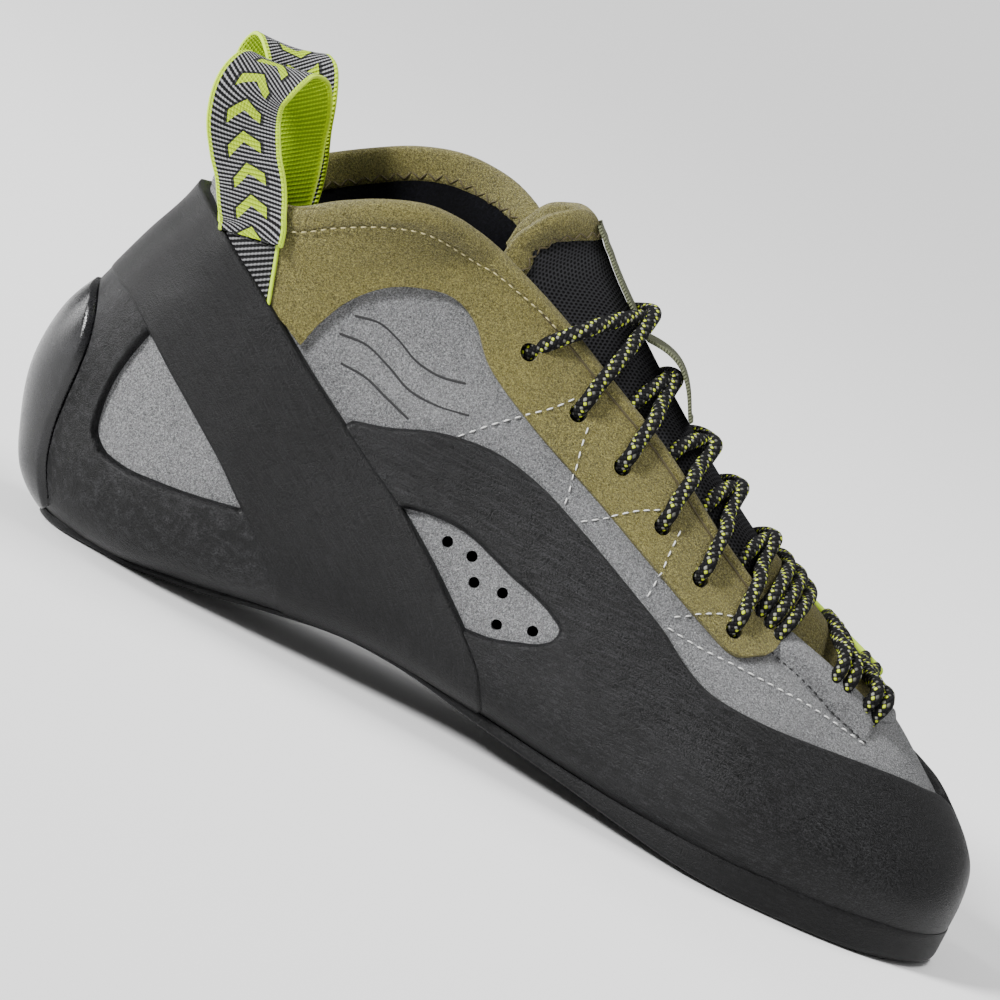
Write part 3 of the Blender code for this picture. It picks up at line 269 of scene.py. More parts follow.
# Pull loops: centre line of the webbing in metres, outer leg first, then the slope of its width in the
# side view and its turn in plan, in degrees. The medial loop mirrors this one, with its top higher.
PULL_LOOP = np.array([
    (0.0352, -0.0274, 0.0900, -26.0, -15.0), (0.0343, -0.0276, 0.0932, -20.0, -15.0),
    (0.0325, -0.0276, 0.0965, -14.0, -14.0), (0.0292, -0.0272, 0.1022, -22.0, -10.0),
    (0.0248, -0.0270, 0.1082, -26.0, -6.0), (0.0210, -0.0268, 0.1150, -14.0, 0.0),
    (0.0196, -0.0256, 0.1215, 0.0, 0.0), (0.0212, -0.0218, 0.1270, 6.0, 0.0),
    (0.0238, -0.0165, 0.1290, 8.0, 0.0), (0.0275, -0.0115, 0.1270, 4.0, 0.0),
    (0.0303, -0.0088, 0.1210, 0.0, 0.0), (0.0322, -0.0092, 0.1140, 0.0, -6.0),
    (0.0344, -0.0116, 0.1070, 0.0, -12.0), (0.0360, -0.0138, 0.1000, 0.0, -16.0),
    (0.0368, -0.0150, 0.0930, 0.0, -16.0),
])
MEDIAL_LOOP_UP = 0.0014
MEDIAL_LOOP_BACK = 0.0012
# Sewn ends of the pull loops: their height over the wall, and how far they run in x and height
TAB_LIFT = 0.0021
TAB_RUN = (0.0056, -0.0192)

# Camera of the photograph's view: where it looks, its angles in degrees, distance and frame width
TARGET = (0.119 - HEEL_REST_X, 0.0, 0.055)
AZIMUTH = -2.0
ELEVATION = 10.0
ROLL = 27.1
DISTANCE = 1.2
FRAME_WIDTH = 0.24965
SENSOR = 36.0
# Half the floor's side, the light of the surroundings, the sun's side, power and angle, then each
# lamp's place, size and power
FLOOR_SIZE = 12.0
WORLD_LIGHT = 0.36
SUN = ((-0.76, -0.50, 0.50), 6.8, 14.0)
LIGHTS = [
    ("top", (0.38, 0.08, 1.20), (0.7, 0.35), 11.0),
    ("back", (-1.10, 0.42, 0.42), (0.25, 0.8), 9.0),
]


def hermite(knots, values, at):
    """Smooth curve through the rows of values."""
    knots, values, at = (np.asarray(a, float) for a in (knots, values, at))
    slopes = np.gradient(values, knots, axis=0)
    k = np.clip(np.searchsorted(knots, at) - 1, 0, len(knots) - 2)
    span = knots[k + 1] - knots[k]
    t = (at - knots[k]) / span
    shape = t.shape + (1,) * (values.ndim - 1)
    t, span = t.reshape(shape), span.reshape(shape)
    return (
        (2 * t**3 - 3 * t**2 + 1) * values[k]
        + (t**3 - 2 * t**2 + t) * span * slopes[k]
        + (3 * t**2 - 2 * t**3) * values[k + 1]
        + (t**3 - t**2) * span * slopes[k + 1]
    )


def section_knots():
    """Spacing of the sections, mostly by their base points."""
    scale = np.array([LENGTH, ANKLE_HEIGHT])
    base, crown = SECTIONS[:, 0:2] * scale, SECTIONS[:, 2:4] * scale
    steps = [np.linalg.norm(np.diff(p, axis=0), axis=1) for p in (base, (base + crown) / 2)]
    knots = np.concatenate([[0.0], np.cumsum(0.7 * steps[0] + 0.3 * steps[1])])
    return knots / knots[-1]


KNOTS = section_knots()


def rounded(x, power):
    share = np.clip((x - TOE_ROUND_X) / (TOE_TIP_X - TOE_ROUND_X), 0, 1)
    return np.maximum(1 - share**power, 0) ** (1 / power)


def bezier(t, a, b, c, d):
    return (1 - t) ** 3 * a + 3 * (1 - t) ** 2 * t * b + 3 * (1 - t) * t**2 * c + t**3 * d


def last(u, w):
    """Point of the last's surface."""
    u, w = np.broadcast_arrays(np.asarray(u, float), np.asarray(w, float))
    w = (w + 2) % 4 - 2
    row = np.moveaxis(hermite(KNOTS, SECTIONS, u), -1, 0)
    bx, tx = row[0] * LENGTH, row[2] * LENGTH
    bz, tz = row[1] * ANKLE_HEIGHT, row[3] * ANKLE_HEIGHT
    half = np.where(w < 0, row[4], row[5]) * BALL_WIDTH * rounded(tx, PLAN_POWER)
    tz = TOE_TIP_Z + (tz - TOE_TIP_Z) * rounded(tx, CROWN_POWER)
    bz = np.where(bx > TOE_ROUND_X, TOE_TIP_Z - (TOE_TIP_Z - bz) * rounded(bx, BASE_POWER), bz)
    belly, low_base, low_side, cheek, roof = row[7:12]
    v = np.abs(w)
    low, t = v <= 1, np.where(v <= 1, v, v - 1)
    side = np.where(low, bezier(t, 0, low_base, 1, 1), bezier(t, 1, 1, roof, 0)) * half
    rise = np.where(
        low,
        bezier(t, 0, 0, belly * (1 - low_side), belly),
        bezier(t, belly, belly + (1 - belly) * cheek, 1, 1),
    )
    y = row[6] * BALL_WIDTH + np.sign(w) * side
    return np.stack([bx + (tx - bx) * rise, y, bz + (tz - bz) * rise], -1)


def outward(u, w):
    step = 1e-4
    along = last(np.clip(u + step, 0, 1), w) - last(np.clip(u - step, 0, 1), w)
    normal = np.cross(along, last(u, w + step) - last(u, w - step))
    size = np.linalg.norm(normal, axis=-1, keepdims=True)
    return np.where(size > 1e-12, normal / np.maximum(size, 1e-15), [1.0, 0.0, 0.0])


def wall_normals(uw):
    return outward(uw[..., 0], uw[..., 1])


def skin(uw, lift=0.0):
    """Points at a height over the last, for an array of (u, w)."""
    u, w = uw[..., 0], uw[..., 1]
    return last(u, w) + outward(u, w) * np.broadcast_to(lift, u.shape)[..., None]


def on_side(points, side):
    """(u, w) of points given by x and height shares in the side view."""
    points = np.atleast_2d(points)[:, :2] * [LENGTH, ANKLE_HEIGHT]
    u, v = (a.ravel() for a in np.meshgrid(np.linspace(0, 1, 260), np.linspace(0, 2, 160)))
    flat = last(u, side * v)[:, [0, 2]]
    near = np.array([np.argmin(((flat - point) ** 2).sum(1)) for point in points])
    u, v = u[near], v[near]
    step = 1e-5
    for _ in range(12):
        here = last(u, side * v)[:, [0, 2]]
        by_u = (last(np.minimum(u + step, 1), side * v)[:, [0, 2]] - here) / step
        by_v = (here - last(u, side * np.maximum(v - step, 0))[:, [0, 2]]) / step
        area = by_u[:, 0] * by_v[:, 1] - by_u[:, 1] * by_v[:, 0]
        area = np.where(np.abs(area) < 1e-7, np.inf, area)
        off = points - here
        move_u = (off[:, 0] * by_v[:, 1] - off[:, 1] * by_v[:, 0]) / area
        move_v = (by_u[:, 0] * off[:, 1] - by_u[:, 1] * off[:, 0]) / area
        u = np.clip(u + np.clip(move_u, -0.004, 0.004), 0, 1)
        v = np.clip(v + np.clip(move_v, -0.013, 0.013), 0, 2)
    return np.stack([u, side * v], 1)


def spaced(path, count):
    """The path again, evenly spaced along its length on the last, or at the given shares of it."""
    run = path_length(path)
    at = np.linspace(0, run[-1], count) if np.isscalar(count) else np.asarray(count) * run[-1]
    return np.stack([np.interp(at, run, path[:, 0]), np.interp(at, run, path[:, 1])], 1)


def smooth_side(table, side, count, from_back=False):
    """An edge given in the side view, as evenly spaced (u, w). It may start on the back centre."""
    run = line_length(table * [LENGTH, ANKLE_HEIGHT])
    dense = on_side(hermite(run, table, np.linspace(0, run[-1], 3 * count)), side)
    if from_back:
        rest = dense[np.argmax(np.abs(dense[:, 1]) > 0.2):]
        dense = np.concatenate([[[dense[0, 0], 0.0]], rest])
    return spaced(dense, count)


def shifted(table, gap):
    """A side view edge moved sideways by a gap."""
    scale = np.array([LENGTH, ANKLE_HEIGHT])
    along = np.gradient(table * scale, axis=0)
    normal = np.stack([-along[:, 1], along[:, 0]], 1) / np.linalg.norm(along, axis=1)[:, None]
    return table + normal * gap / scale


def rim_height(x):
    return hermite(RIM[:, 0] * LENGTH, RIM[:, 1] * ANKLE_HEIGHT, np.clip(x, 0, LENGTH))


def ground_height(x):
    height = hermite(GROUND[:, 0] * LENGTH, GROUND[:, 1] * ANKLE_HEIGHT, np.clip(x, 0, LENGTH))
    return np.maximum(height, 0)


def over_rim(u, w, level):
    point = last(u, w)
    return point[..., 2] - rim_height(point[..., 0]) - level


def feather_ends(level):
    """The two u where the base centre crosses the rim, at the toe and at the heel."""
    ends = []
    for high, low in ((0.0, 0.15), (0.80, 0.60)):
        for _ in range(40):
            middle = (high + low) / 2
            high, low = (middle, low) if over_rim(middle, 0.0, level) > 0 else (high, middle)
        ends.append((high + low) / 2)
    return ends


def feather(u, side, level=0.0):
    """w on the rim line for each u, 0 where the whole section lies over it."""
    low, high = np.zeros_like(u), np.ones_like(u)
    for _ in range(34):
        middle = (low + high) / 2
        above = over_rim(u, side * middle, level) > 0
        low, high = np.where(above, low, middle), np.where(above, middle, high)
    return side * np.where(over_rim(u, 0 * u, level) > 0, 0.0, (low + high) / 2)


def rim_path(u, side):
    """(u, w) on the rim line for each u."""
    return np.stack([u, feather(u, side)], 1)


def end_on_rim(path, side):
    """The path with its last point moved onto the rim line."""
    path[-1, 1] = feather(path[-1:, 0], side)[0]
    return path


def eased(count):
    return (1 - np.cos(np.linspace(0, np.pi, count))) / 2


def coons(bottom, top, left, right):
    """Grid between four edges that share their corners, spaced like its left edge."""
    s = np.linspace(0, 1, len(bottom))[:, None, None]
    run = line_length(left)
    t = (run / run[-1])[None, :, None]
    edges = (1 - t) * bottom[:, None] + t * top[:, None] + (1 - s) * left[None] + s * right[None]
    corners = (
        (1 - s) * (1 - t) * bottom[0] + s * (1 - t) * bottom[-1]
        + (1 - s) * t * top[0] + s * t * top[-1]
    )
    return edges - corners


def ruled(bottom, top, cells, crowd):
    """Grid of straight lines in (u, w), with its cells crowded toward the bottom."""
    t = (np.linspace(0, 1, cells + 1) ** crowd)[None, :, None]
    return (1 - t) * bottom[:, None] + t * top[:, None]


def straight(start, end, count):
    return start + (end - start) * np.linspace(0, 1, count)[:, None]


def nearest(path, place):
    """Index of the path's point that lies nearest to a place."""
    return int(np.argmin(((last(*path.T) - last(*place)) ** 2).sum(1)))


def opening_edge(side, count):
    """The collar and throat edge, back of the heel first, ending on the crown."""
    table = np.stack([OPENING[:, 0], OPENING[:, 1] if side == LATERAL else OPENING[:, 2]], 1)
    run = np.linspace(0, 1, len(table))
    dense = on_side(hermite(run, table, np.linspace(0, 1, 90)), side)
    dense[0, 1] = 0.0
    end = np.array([crown_at(THROAT_END_X), side * 2.0])
    curl = [
        dense[-1] * (1 - t) + end * t - np.array([THROAT_CURL * np.sin(np.pi * t), 0.0])
        for t in np.linspace(0.2, 1, 6)
    ]
    return spaced(np.concatenate([dense, curl]), count)


def crown_at(share):
    """u where the crown line has this x share."""
    u = np.linspace(0, 0.6, 600)
    return float(np.interp(-share * LENGTH, -last(u, 2.0)[:, 0], u))


def throat_width(u, side):
    """w of the throat edge for each u ahead of the collar."""
    edge = opening_edge(side, 240)[::-1]
    rising = edge[: np.argmax(edge[:, 0]) + 1]
    return np.interp(u, rising[:, 0], rising[:, 1])


# Meshes

def run_length(points, axis):
    """Distance along one axis of a grid of points, from its start."""
    steps = np.linalg.norm(np.diff(points, axis=axis), axis=-1)
    zero = np.zeros_like(np.take(steps, [0], axis=axis))
    return np.concatenate([zero, np.cumsum(steps, axis=axis)], axis=axis)


def line_length(line):
    return run_length(line[:, None], 0)[:, 0]


def path_length(path):
    """Distance along a path of (u, w), from its start."""
    return line_length(last(*path.T))


def grid_mesh(name, grids, weld=2e-6):
    """One welded mesh from grids of points. Its UVs are metres along and across each grid."""
    points, faces, uvs, start = [], [], [], 0
    for grid in grids:
        n, m = grid.shape[:2]
        index = np.arange(n * m).reshape(n, m) + start
        start += n * m
        quads = np.stack([index[:-1, :-1], index[1:, :-1], index[1:, 1:], index[:-1, 1:]], -1)
        along = np.broadcast_to(run_length(grid, 0).mean(1, keepdims=True), (n, m))
        across = run_length(grid, 1)
        across = across - across[:, -1:] / 2
        points.append(grid.reshape(-1, 3))
        faces.append(quads.reshape(-1, 4))
        uvs.append(np.stack([along, across], -1).reshape(-1, 2))
    points, faces, uvs = (np.concatenate(part) for part in (points, faces, uvs))
    mesh = bpy.data.meshes.new(name)
    mesh.from_pydata(points.tolist(), [], faces.tolist())
    layer = mesh.uv_layers.new(name="UVMap")
    layer.data.foreach_set("uv", uvs[faces.ravel()].ravel())
    bm = bmesh.new()
    bm.from_mesh(mesh)
    bmesh.ops.remove_doubles(bm, verts=bm.verts, dist=weld)
    bmesh.ops.dissolve_degenerate(bm, edges=bm.edges, dist=1e-6)
    bmesh.ops.recalc_face_normals(bm, faces=bm.faces)
    bm.to_mesh(mesh)
    bm.free()
    return mesh


def face_outward(mesh, grids, normals):
    """Turns an open sheet so that it faces the way its normals say."""
    flat = np.concatenate([g.reshape(-1, 3) for g in grids])
    ways = np.concatenate([n.reshape(-1, 3) for n in normals])
    score = 0.0
    for polygon in list(mesh.polygons)[:: max(1, len(mesh.polygons) // 50)]:
        near = np.argmin(((flat - np.array(polygon.center)) ** 2).sum(1))
        score += float(np.dot(ways[near], np.array(polygon.normal))) * polygon.area
    if score < 0:
        mesh.flip_normals()


def piece(name, mesh, surfaces, slot, *nodes):
    """Puts a mesh from the last's frame into the shoe's, where it rides and stands for its nodes."""
    mesh.transform(Matrix.Translation((-HEEL_REST_X, 0, 0)))
    made = bpy.data.objects.new(name, mesh)
    mesh.materials.clear()
    for surface in surfaces:
        mesh.materials.append(surface)
    mesh.shade_smooth()
    bpy.context.scene.collection.objects.link(made)
    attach(made, "root")
    if nodes:
        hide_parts(*nodes)
    return made


def sheet(name, grids, ways, surfaces, slot, *nodes, tested=None):
    """An open skin of grids, turned to face the given ways. Only some of its grids may be tested."""
    mesh = grid_mesh(name, grids)
    face_outward(mesh, tested or grids, ways)
    return piece(name, mesh, surfaces, slot, *nodes)


def solidified(made, wall, offset, inner_material=0):
    solid = made.modifiers.new("Wall", "SOLIDIFY")
    solid.thickness = wall
    solid.offset = offset
    solid.use_quality_normals = True
    solid.material_offset = inner_material
    solid.material_offset_rim = 0


def rounded_edges(made, width, segments):
    bevel = made.modifiers.new("Round", "BEVEL")
    bevel.width = width
    bevel.segments = segments
    bevel.limit_method = "ANGLE"
    bevel.angle_limit = np.radians(50)


def bored(made, cutter):
    hole = made.modifiers.new("Holes", "BOOLEAN")
    hole.operation = "DIFFERENCE"
    hole.solver = "EXACT"
    hole.object = cutter


def settle(made):
    """Applies every modifier."""
    graph = bpy.context.evaluated_depsgraph_get()
    mesh = bpy.data.meshes.new_from_object(made.evaluated_get(graph))
    made.modifiers.clear()
    made.data = mesh
    mesh.shade_smooth()
    mesh.set_sharp_from_angle(angle=np.radians(48))


def edge_distance(points, sides):
    """Distance of each point of a grid from the edges named: start, end, low, high."""
    distance = np.full(points.shape[:2], 1.0)
    along, across = run_length(points, 0), run_length(points, 1)
    if "start" in sides:
        distance = np.minimum(distance, along)
    if "end" in sides:
        distance = np.minimum(distance, along[-1:] - along)
    if "low" in sides:
        distance = np.minimum(distance, across)
    if "high" in sides:
        distance = np.minimum(distance, across[:, -1:] - across)
    return distance


def reach(points, lines):
    """Distance of each point of a grid from the nearest of some lines."""
    flat = points.reshape(-1, 3)
    shortest = np.full(len(flat), 1.0)
    for line in lines:
        for start, step in zip(line[:-1], np.diff(line, axis=0)):
            share = np.clip((flat - start) @ step / max(step @ step, 1e-16), 0, 1)
            shortest = np.minimum(shortest, np.linalg.norm(flat - start - share[:, None] * step, axis=1))
    return shortest.reshape(points.shape[:2])


def quarter_round(distance, height, radius):
    """Height over the last near an edge that rolls down to it."""
    share = np.clip(1 - distance / radius, 0, 1)
    return -EDGE_SINK + (height + EDGE_SINK) * np.sqrt(1 - share**2)


def overlay(name, grids, sides, height, radius, surfaces, slot, *nodes, swell=None):
    """A skin over the upper with rolled edges. Each grid names the edges that are free."""
    points = []
    for grid, free in zip(grids, sides):
        base = skin(grid)
        lift = quarter_round(edge_distance(base, free), height, radius)
        if swell:
            lift = lift + swell(grid, base)
        points.append(skin(grid, lift))
    return sheet(name, points, [wall_normals(g) for g in grids], surfaces, slot, *nodes)


def frames(line):
    """Unit tangents of a line of points."""
    tangent = np.gradient(line, axis=0)
    return tangent / np.maximum(np.linalg.norm(tangent, axis=1, keepdims=True), 1e-12)


def tube_grid(line, radius, around=14, flat=1.0, normals=None):
    """A round cord along a line as a grid, with an optional flattening along the given normals."""
    tangent = frames(line)
    if normals is None:
        up = np.array([0.0, 0.0, 1.0]) if abs(tangent[0, 2]) < 0.9 else np.array([1.0, 0.0, 0.0])
        rows = []
        for t in tangent:
            up = up - t * np.dot(up, t)
            up = up / np.linalg.norm(up)
            rows.append(up)
        normals = np.array(rows)
    normals = normals - tangent * (normals * tangent).sum(1, keepdims=True)
    normals = normals / np.linalg.norm(normals, axis=1, keepdims=True)
    sideways = np.cross(tangent, normals)
    angle = np.linspace(0, 2 * np.pi, around + 1)[None, :, None]
    radius = np.broadcast_to(radius, (len(line),))[:, None, None]
    ring = np.cos(angle) * normals[:, None] * flat + np.sin(angle) * sideways[:, None]
    return line[:, None] + ring * radius


def smooth_line(points, count):
    run = line_length(points)
    return hermite(run, points, np.linspace(0, run[-1], count))


def cords(name, lines, radius, surfaces, slot, *nodes, around=14, flat=1.0):
    """Round cords joined in one mesh, each closed by a dome at both ends."""
    angle = np.linspace(0, np.pi / 2, 5)
    reaches = radius * np.cos(angle[:-1])
    sizes = radius * np.sin(angle[1:-1])
    tip = [radius * CORD_TIP]
    grids = []
    for line in lines:
        tangent = frames(line)
        head = [line[0] - tangent[0] * step for step in reaches]
        tail = [line[-1] + tangent[-1] * step for step in reaches[::-1]]
        wide = np.concatenate([tip, sizes, np.full(len(line), radius), sizes[::-1], tip])
        grids.append(tube_grid(np.concatenate([head, line, tail]), wide, around, flat))
    return piece(name, grid_mesh(name, grids, FINE_WELD), surfaces, slot, *nodes)


def stitches(name, seams, surface, slot, length, gap, radius, turn=0.0):
    """A row of short thread loops along each seam, given as points and normals. A turn makes a zigzag."""
    t = np.linspace(-1, 1, 7)
    arch = (radius * 1.5 * (1 - t**2) - radius * 0.5)[:, None]
    wide = radius * np.sqrt(np.maximum(1 - t**4, 0.02))
    grids = []
    for line, normal in seams:
        run = line_length(line)
        count = max(1, int(run[-1] / (length + gap)))
        for number, centre in enumerate((np.arange(count) + 0.5) * run[-1] / count):
            place, up, ahead = (
                np.array([np.interp(centre, run, part[:, k]) for k in range(3)])
                for part in (line, normal, frames(line))
            )
            up = up / np.linalg.norm(up)
            side = np.cross(up, ahead)
            angle = turn if number % 2 else -turn
            ahead = ahead * np.cos(angle) + side * np.sin(angle)
            middle = place + ahead * t[:, None] * length / 2 + up * arch
            grids.append(tube_grid(middle, wide, 7, 1.0, np.tile(up, (7, 1))))
    return piece(name, grid_mesh(name, grids, FINE_WELD), [surface], slot)


# Materials

class Finish:
    """Short calls for the nodes of one material."""

    def __init__(self, name, **sockets):
        self.material = bpy.data.materials.new(name)
        self.material.use_nodes = True
        self.tree = self.material.node_tree
        self.shader = self.tree.nodes["Principled BSDF"]
        for socket, value in sockets.items():
            self.shader.inputs[socket.replace("_", " ")].default_value = value

    def fill(self, socket, value):
        if isinstance(value, bpy.types.NodeSocket):
            self.tree.links.new(value, socket)
        else:
            socket.default_value = value

    def node(self, kind, settings, *values):
        made = self.tree.nodes.new("ShaderNode" + kind)
        for key, value in settings.items():
            setattr(made, key, value)
        for socket, value in zip(made.inputs, values):
            self.fill(socket, value)
        return made

    def math(self, operation, a, b=0.0, c=0.0):
        return self.node("Math", {"operation": operation}, a, b, c).outputs[0]

    def plus(self, a, b):
        return self.math("ADD", a, b)

    def times(self, a, b):
        return self.math("MULTIPLY", a, b)

    def place(self, kind="Object", scale=(1, 1, 1)):
        coordinates = self.node("TexCoord", {}).outputs[kind]
        return self.node("Mapping", {}, coordinates, (0, 0, 0), (0, 0, 0), scale).outputs[0]

    def along_across(self):
        """Metres along and across a piece, from its UVs."""
        return self.node("SeparateXYZ", {}, self.place("UV")).outputs[:2]

    def noise(self, place, scale, detail=2.0, rough=0.55):
        made = self.node("TexNoise", {}, place)
        for socket, value in (("Scale", scale), ("Detail", detail), ("Roughness", rough)):
            made.inputs[socket].default_value = value
        return made.outputs[0]

    def spread(self, value, low, high, to_low=0.0, to_high=1.0):
        return self.node("MapRange", {}, value, low, high, to_low, to_high).outputs[0]

    def blend(self, share, a, b):
        made = self.node("Mix", {"data_type": "RGBA"})
        self.fill(made.inputs[0], share)
        for socket, color in ((made.inputs[6], a), (made.inputs[7], b)):
            self.fill(socket, (*color, 1.0) if isinstance(color, tuple) else color)
        return made.outputs[2]

    def bump(self, height, strength, distance, normal=None):
        made = self.node("Bump", {})
        made.inputs["Strength"].default_value = strength
        made.inputs["Distance"].default_value = distance
        self.tree.links.new(height, made.inputs["Height"])
        if normal is not None:
            self.tree.links.new(normal, made.inputs["Normal"])
        return made.outputs[0]

    def done(self, color=None, roughness=None, normal=None):
        for name, value in (("Base Color", color), ("Roughness", roughness), ("Normal", normal)):
            if value is not None:
                self.tree.links.new(value, self.shader.inputs[name])
        return self.material


def suede(name, dark, middle, light):
    """Brushed leather: soft patches where the nap lies over, a fine speckle and a short nap."""
    look = Finish(name, Roughness=0.95, Sheen_Weight=0.18, Sheen_Roughness=0.5, Specular_IOR_Level=0.2)
    where = look.place()
    patches = look.spread(look.noise(where, 70, 3, 0.6), 0.32, 0.68)
    nap = look.spread(look.noise(where, 2100, 3, 0.65), 0.34, 0.66)
    grain = look.spread(look.noise(where, 4200, 2, 0.7), 0.38, 0.62)
    color = look.blend(look.math("MULTIPLY_ADD", nap, 0.7, look.times(patches, 0.3)), dark, middle)
    color = look.blend(look.times(look.times(nap, grain), 0.75), color, light)
    normal = look.bump(grain, 0.5, 0.0002, look.bump(nap, 0.6, 0.0005))
    return look.done(color, None, normal)


def buffed_rubber(name, dark, light, roughness, kind, scale, depth=0.5, specular=0.22):
    """Rubber with fine buffing lines along one direction, dusty patches and a fine grain."""
    look = Finish(name, Specular_IOR_Level=specular)
    lines = look.spread(look.noise(look.place(kind, scale), 1.0, 3, 0.7), 0.44, 0.68)
    clouds = look.spread(look.noise(look.place(), 32, 4, 0.65), 0.35, 0.68)
    grain = look.spread(look.noise(look.place(), 2600, 2, 0.7), 0.42, 0.62)
    worn = look.plus(look.times(lines, 0.85), look.times(clouds, 0.35))
    color = look.blend(look.times(worn, look.math("MULTIPLY_ADD", grain, 0.85, 0.15)), dark, light)
    matt = look.spread(look.plus(lines, grain), 0.0, 2.0, roughness - 0.07, roughness + 0.14)
    normal = look.bump(grain, depth, 0.0002, look.bump(lines, 0.45 * depth, 0.0002))
    return look.done(color, matt, normal)


def knitted(name, dark, light, pitch):
    """Spacer mesh: rows of small round openings with a yarn between."""
    look = Finish(name, Roughness=0.85, Specular_IOR_Level=0.15)
    along, across = look.along_across()
    rows = look.math("DIVIDE", across, pitch)
    shift = look.times(look.math("MODULO", look.math("FLOOR", rows), 2.0), 0.5)
    columns = look.plus(look.math("DIVIDE", along, pitch * 1.25), shift)
    squares = []
    for cells in (rows, columns):
        off = look.math("SUBTRACT", look.math("FRACT", cells), 0.5)
        squares.append(look.math("POWER", off, 2.0))
    yarn = look.spread(look.math("SQRT", look.plus(*squares)), 0.20, 0.42)
    return look.done(look.blend(yarn, dark, light), None, look.bump(yarn, 0.9, 0.0004))


def grosgrain(name, dark, light, edge, width, rib, chevrons=None):
    """Woven tape: slanted ribs, a coloured edge on both sides and a row of chevrons down its middle."""
    look = Finish(name, Roughness=0.75, Specular_IOR_Level=0.2)
    along, across = look.along_across()
    slanted = look.plus(along, look.times(across, 0.35))
    wave = look.math("SINE", look.times(slanted, 2 * np.pi / rib))
    weft = look.math("SINE", look.times(across, 2 * np.pi / (rib * 0.7)))
    ribs = look.spread(look.plus(wave, look.times(weft, 0.25)), -0.1, 1.0)
    color = look.blend(ribs, dark, light)
    off = look.math("ABSOLUTE", across)
    if chevrons:
        bent = look.math("MULTIPLY_ADD", off, 0.8, along)
        bent = look.math("FRACT", look.math("DIVIDE", bent, CHEVRON_PITCH))
        near = look.math("ABSOLUTE", look.math("SUBTRACT", bent, CHEVRON_SHARE / 2))
        shade = look.times(look.math("LESS_THAN", off, 0.0048), look.math("LESS_THAN", near, 0.26))
        stripe = look.times(look.math("LESS_THAN", off, 0.0040), look.math("LESS_THAN", bent, CHEVRON_SHARE))
        color = look.blend(look.times(shade, 0.85), color, dark)
        color = look.blend(look.times(stripe, look.math("MULTIPLY_ADD", ribs, 0.3, 0.7)), color, chevrons)
    color = look.blend(look.math("GREATER_THAN", off, width / 2 - SELVEDGE), color, edge)
    color = look.blend(look.times(look.noise(look.place(), 2500, 2), 0.25), color, dark)
    return look.done(color, None, look.bump(look.plus(wave, look.times(weft, 0.3)), 0.8, 0.00022))


def braided(name, dark, grey, lime, diameter):
    """Round braid of a dark yarn with grey and lime flecks that wind both ways round it."""
    look = Finish(name, Roughness=0.75, Specular_IOR_Level=0.2)
    along, across = look.along_across()
    around = look.math("DIVIDE", across, np.pi * diameter / 8)
    along = look.math("DIVIDE", along, BRAID_PITCH)
    one, two = look.plus(along, around), look.math("SUBTRACT", along, around)
    cells = look.plus(look.math("FLOOR", one), look.times(look.math("FLOOR", two), 3.0))
    kind = look.math("MODULO", look.plus(cells, 4000.0), 7.0)
    rounds = [look.math("ABSOLUTE", look.math("SINE", look.times(way, np.pi))) for way in (one, two)]
    height = look.math("SQRT", look.times(*rounds))
    yarn = look.spread(height, 0.35, 0.75)
    color = dark
    for number, share, fleck in ((2.0, 1.0, lime), (5.0, 1.0, grey), (3.0, 0.45, grey)):
        chosen = look.math("COMPARE", kind, number, 0.4)
        color = look.blend(look.times(chosen, look.times(yarn, share)), color, fleck)
    return look.done(color, None, look.bump(height, 0.9, 0.0004))


def fleece(name, dark, light):
    """Matt fabric with a short pile."""
    look = Finish(name, Roughness=0.97, Specular_IOR_Level=0.1)
    where = look.place()
    pile = look.spread(look.noise(where, 1500, 4, 0.7), 0.35, 0.7)
    patches = look.spread(look.noise(where, 80, 3), 0.3, 0.7, 0.3, 0.9)
    color = look.blend(look.times(pile, patches), dark, light)
    return look.done(color, None, look.bump(pile, 0.6, 0.0004))


def thread(name, color):
    look = Finish(name, Roughness=0.7, Sheen_Weight=0.1)
    fibre = look.noise(look.place(), 4000, 2)
    return look.done(look.blend(look.times(fibre, 0.5), color, tuple(c * 0.6 for c in color)))


# Forms on the last

def toe_stations(level, count):
    """u from the toe tip to the toe end of the sole, closer together at the tip."""
    return feather_ends(level)[0] * np.linspace(0, 1, count) ** 2


def upper_grid(side):
    """Toe and forefoot follow the sections, and the heel is ruled from the sole to the collar."""
    toe, heel = feather_ends(0.0)
    turn = on_side([(0.560, 0.70)], side)[0][0]
    foot = toe + (heel - toe) * eased(240)
    crown = crown_at(THROAT_END_X)
    near_throat = crown + np.array([0.0, 0.0015, 0.003, 0.006, 0.012])
    front = np.sort(np.concatenate([toe_stations(0.0, 22), foot[(foot > toe) & (foot < turn)], near_throat]))
    top = np.stack([front, np.where(front <= crown, side * 2.0, throat_width(front, side))], 1)
    back = np.concatenate([foot[foot >= turn], [heel]])
    count = 86
    low = spaced(rim_path(back, side), 1 - (1 - np.linspace(0, 1, count)) ** 1.3)
    low[:-1, 1] = feather(low[:-1, 0], side)
    edge = opening_edge(side, 900)[::-1]
    high = spaced(edge[np.argmax(edge[:, 0] >= back[0]):], count)
    low[-1, 1] = high[-1, 1] = 0.0
    return ruled(np.concatenate([rim_path(front, side), low]), np.concatenate([top, high]), 66, 1.1)


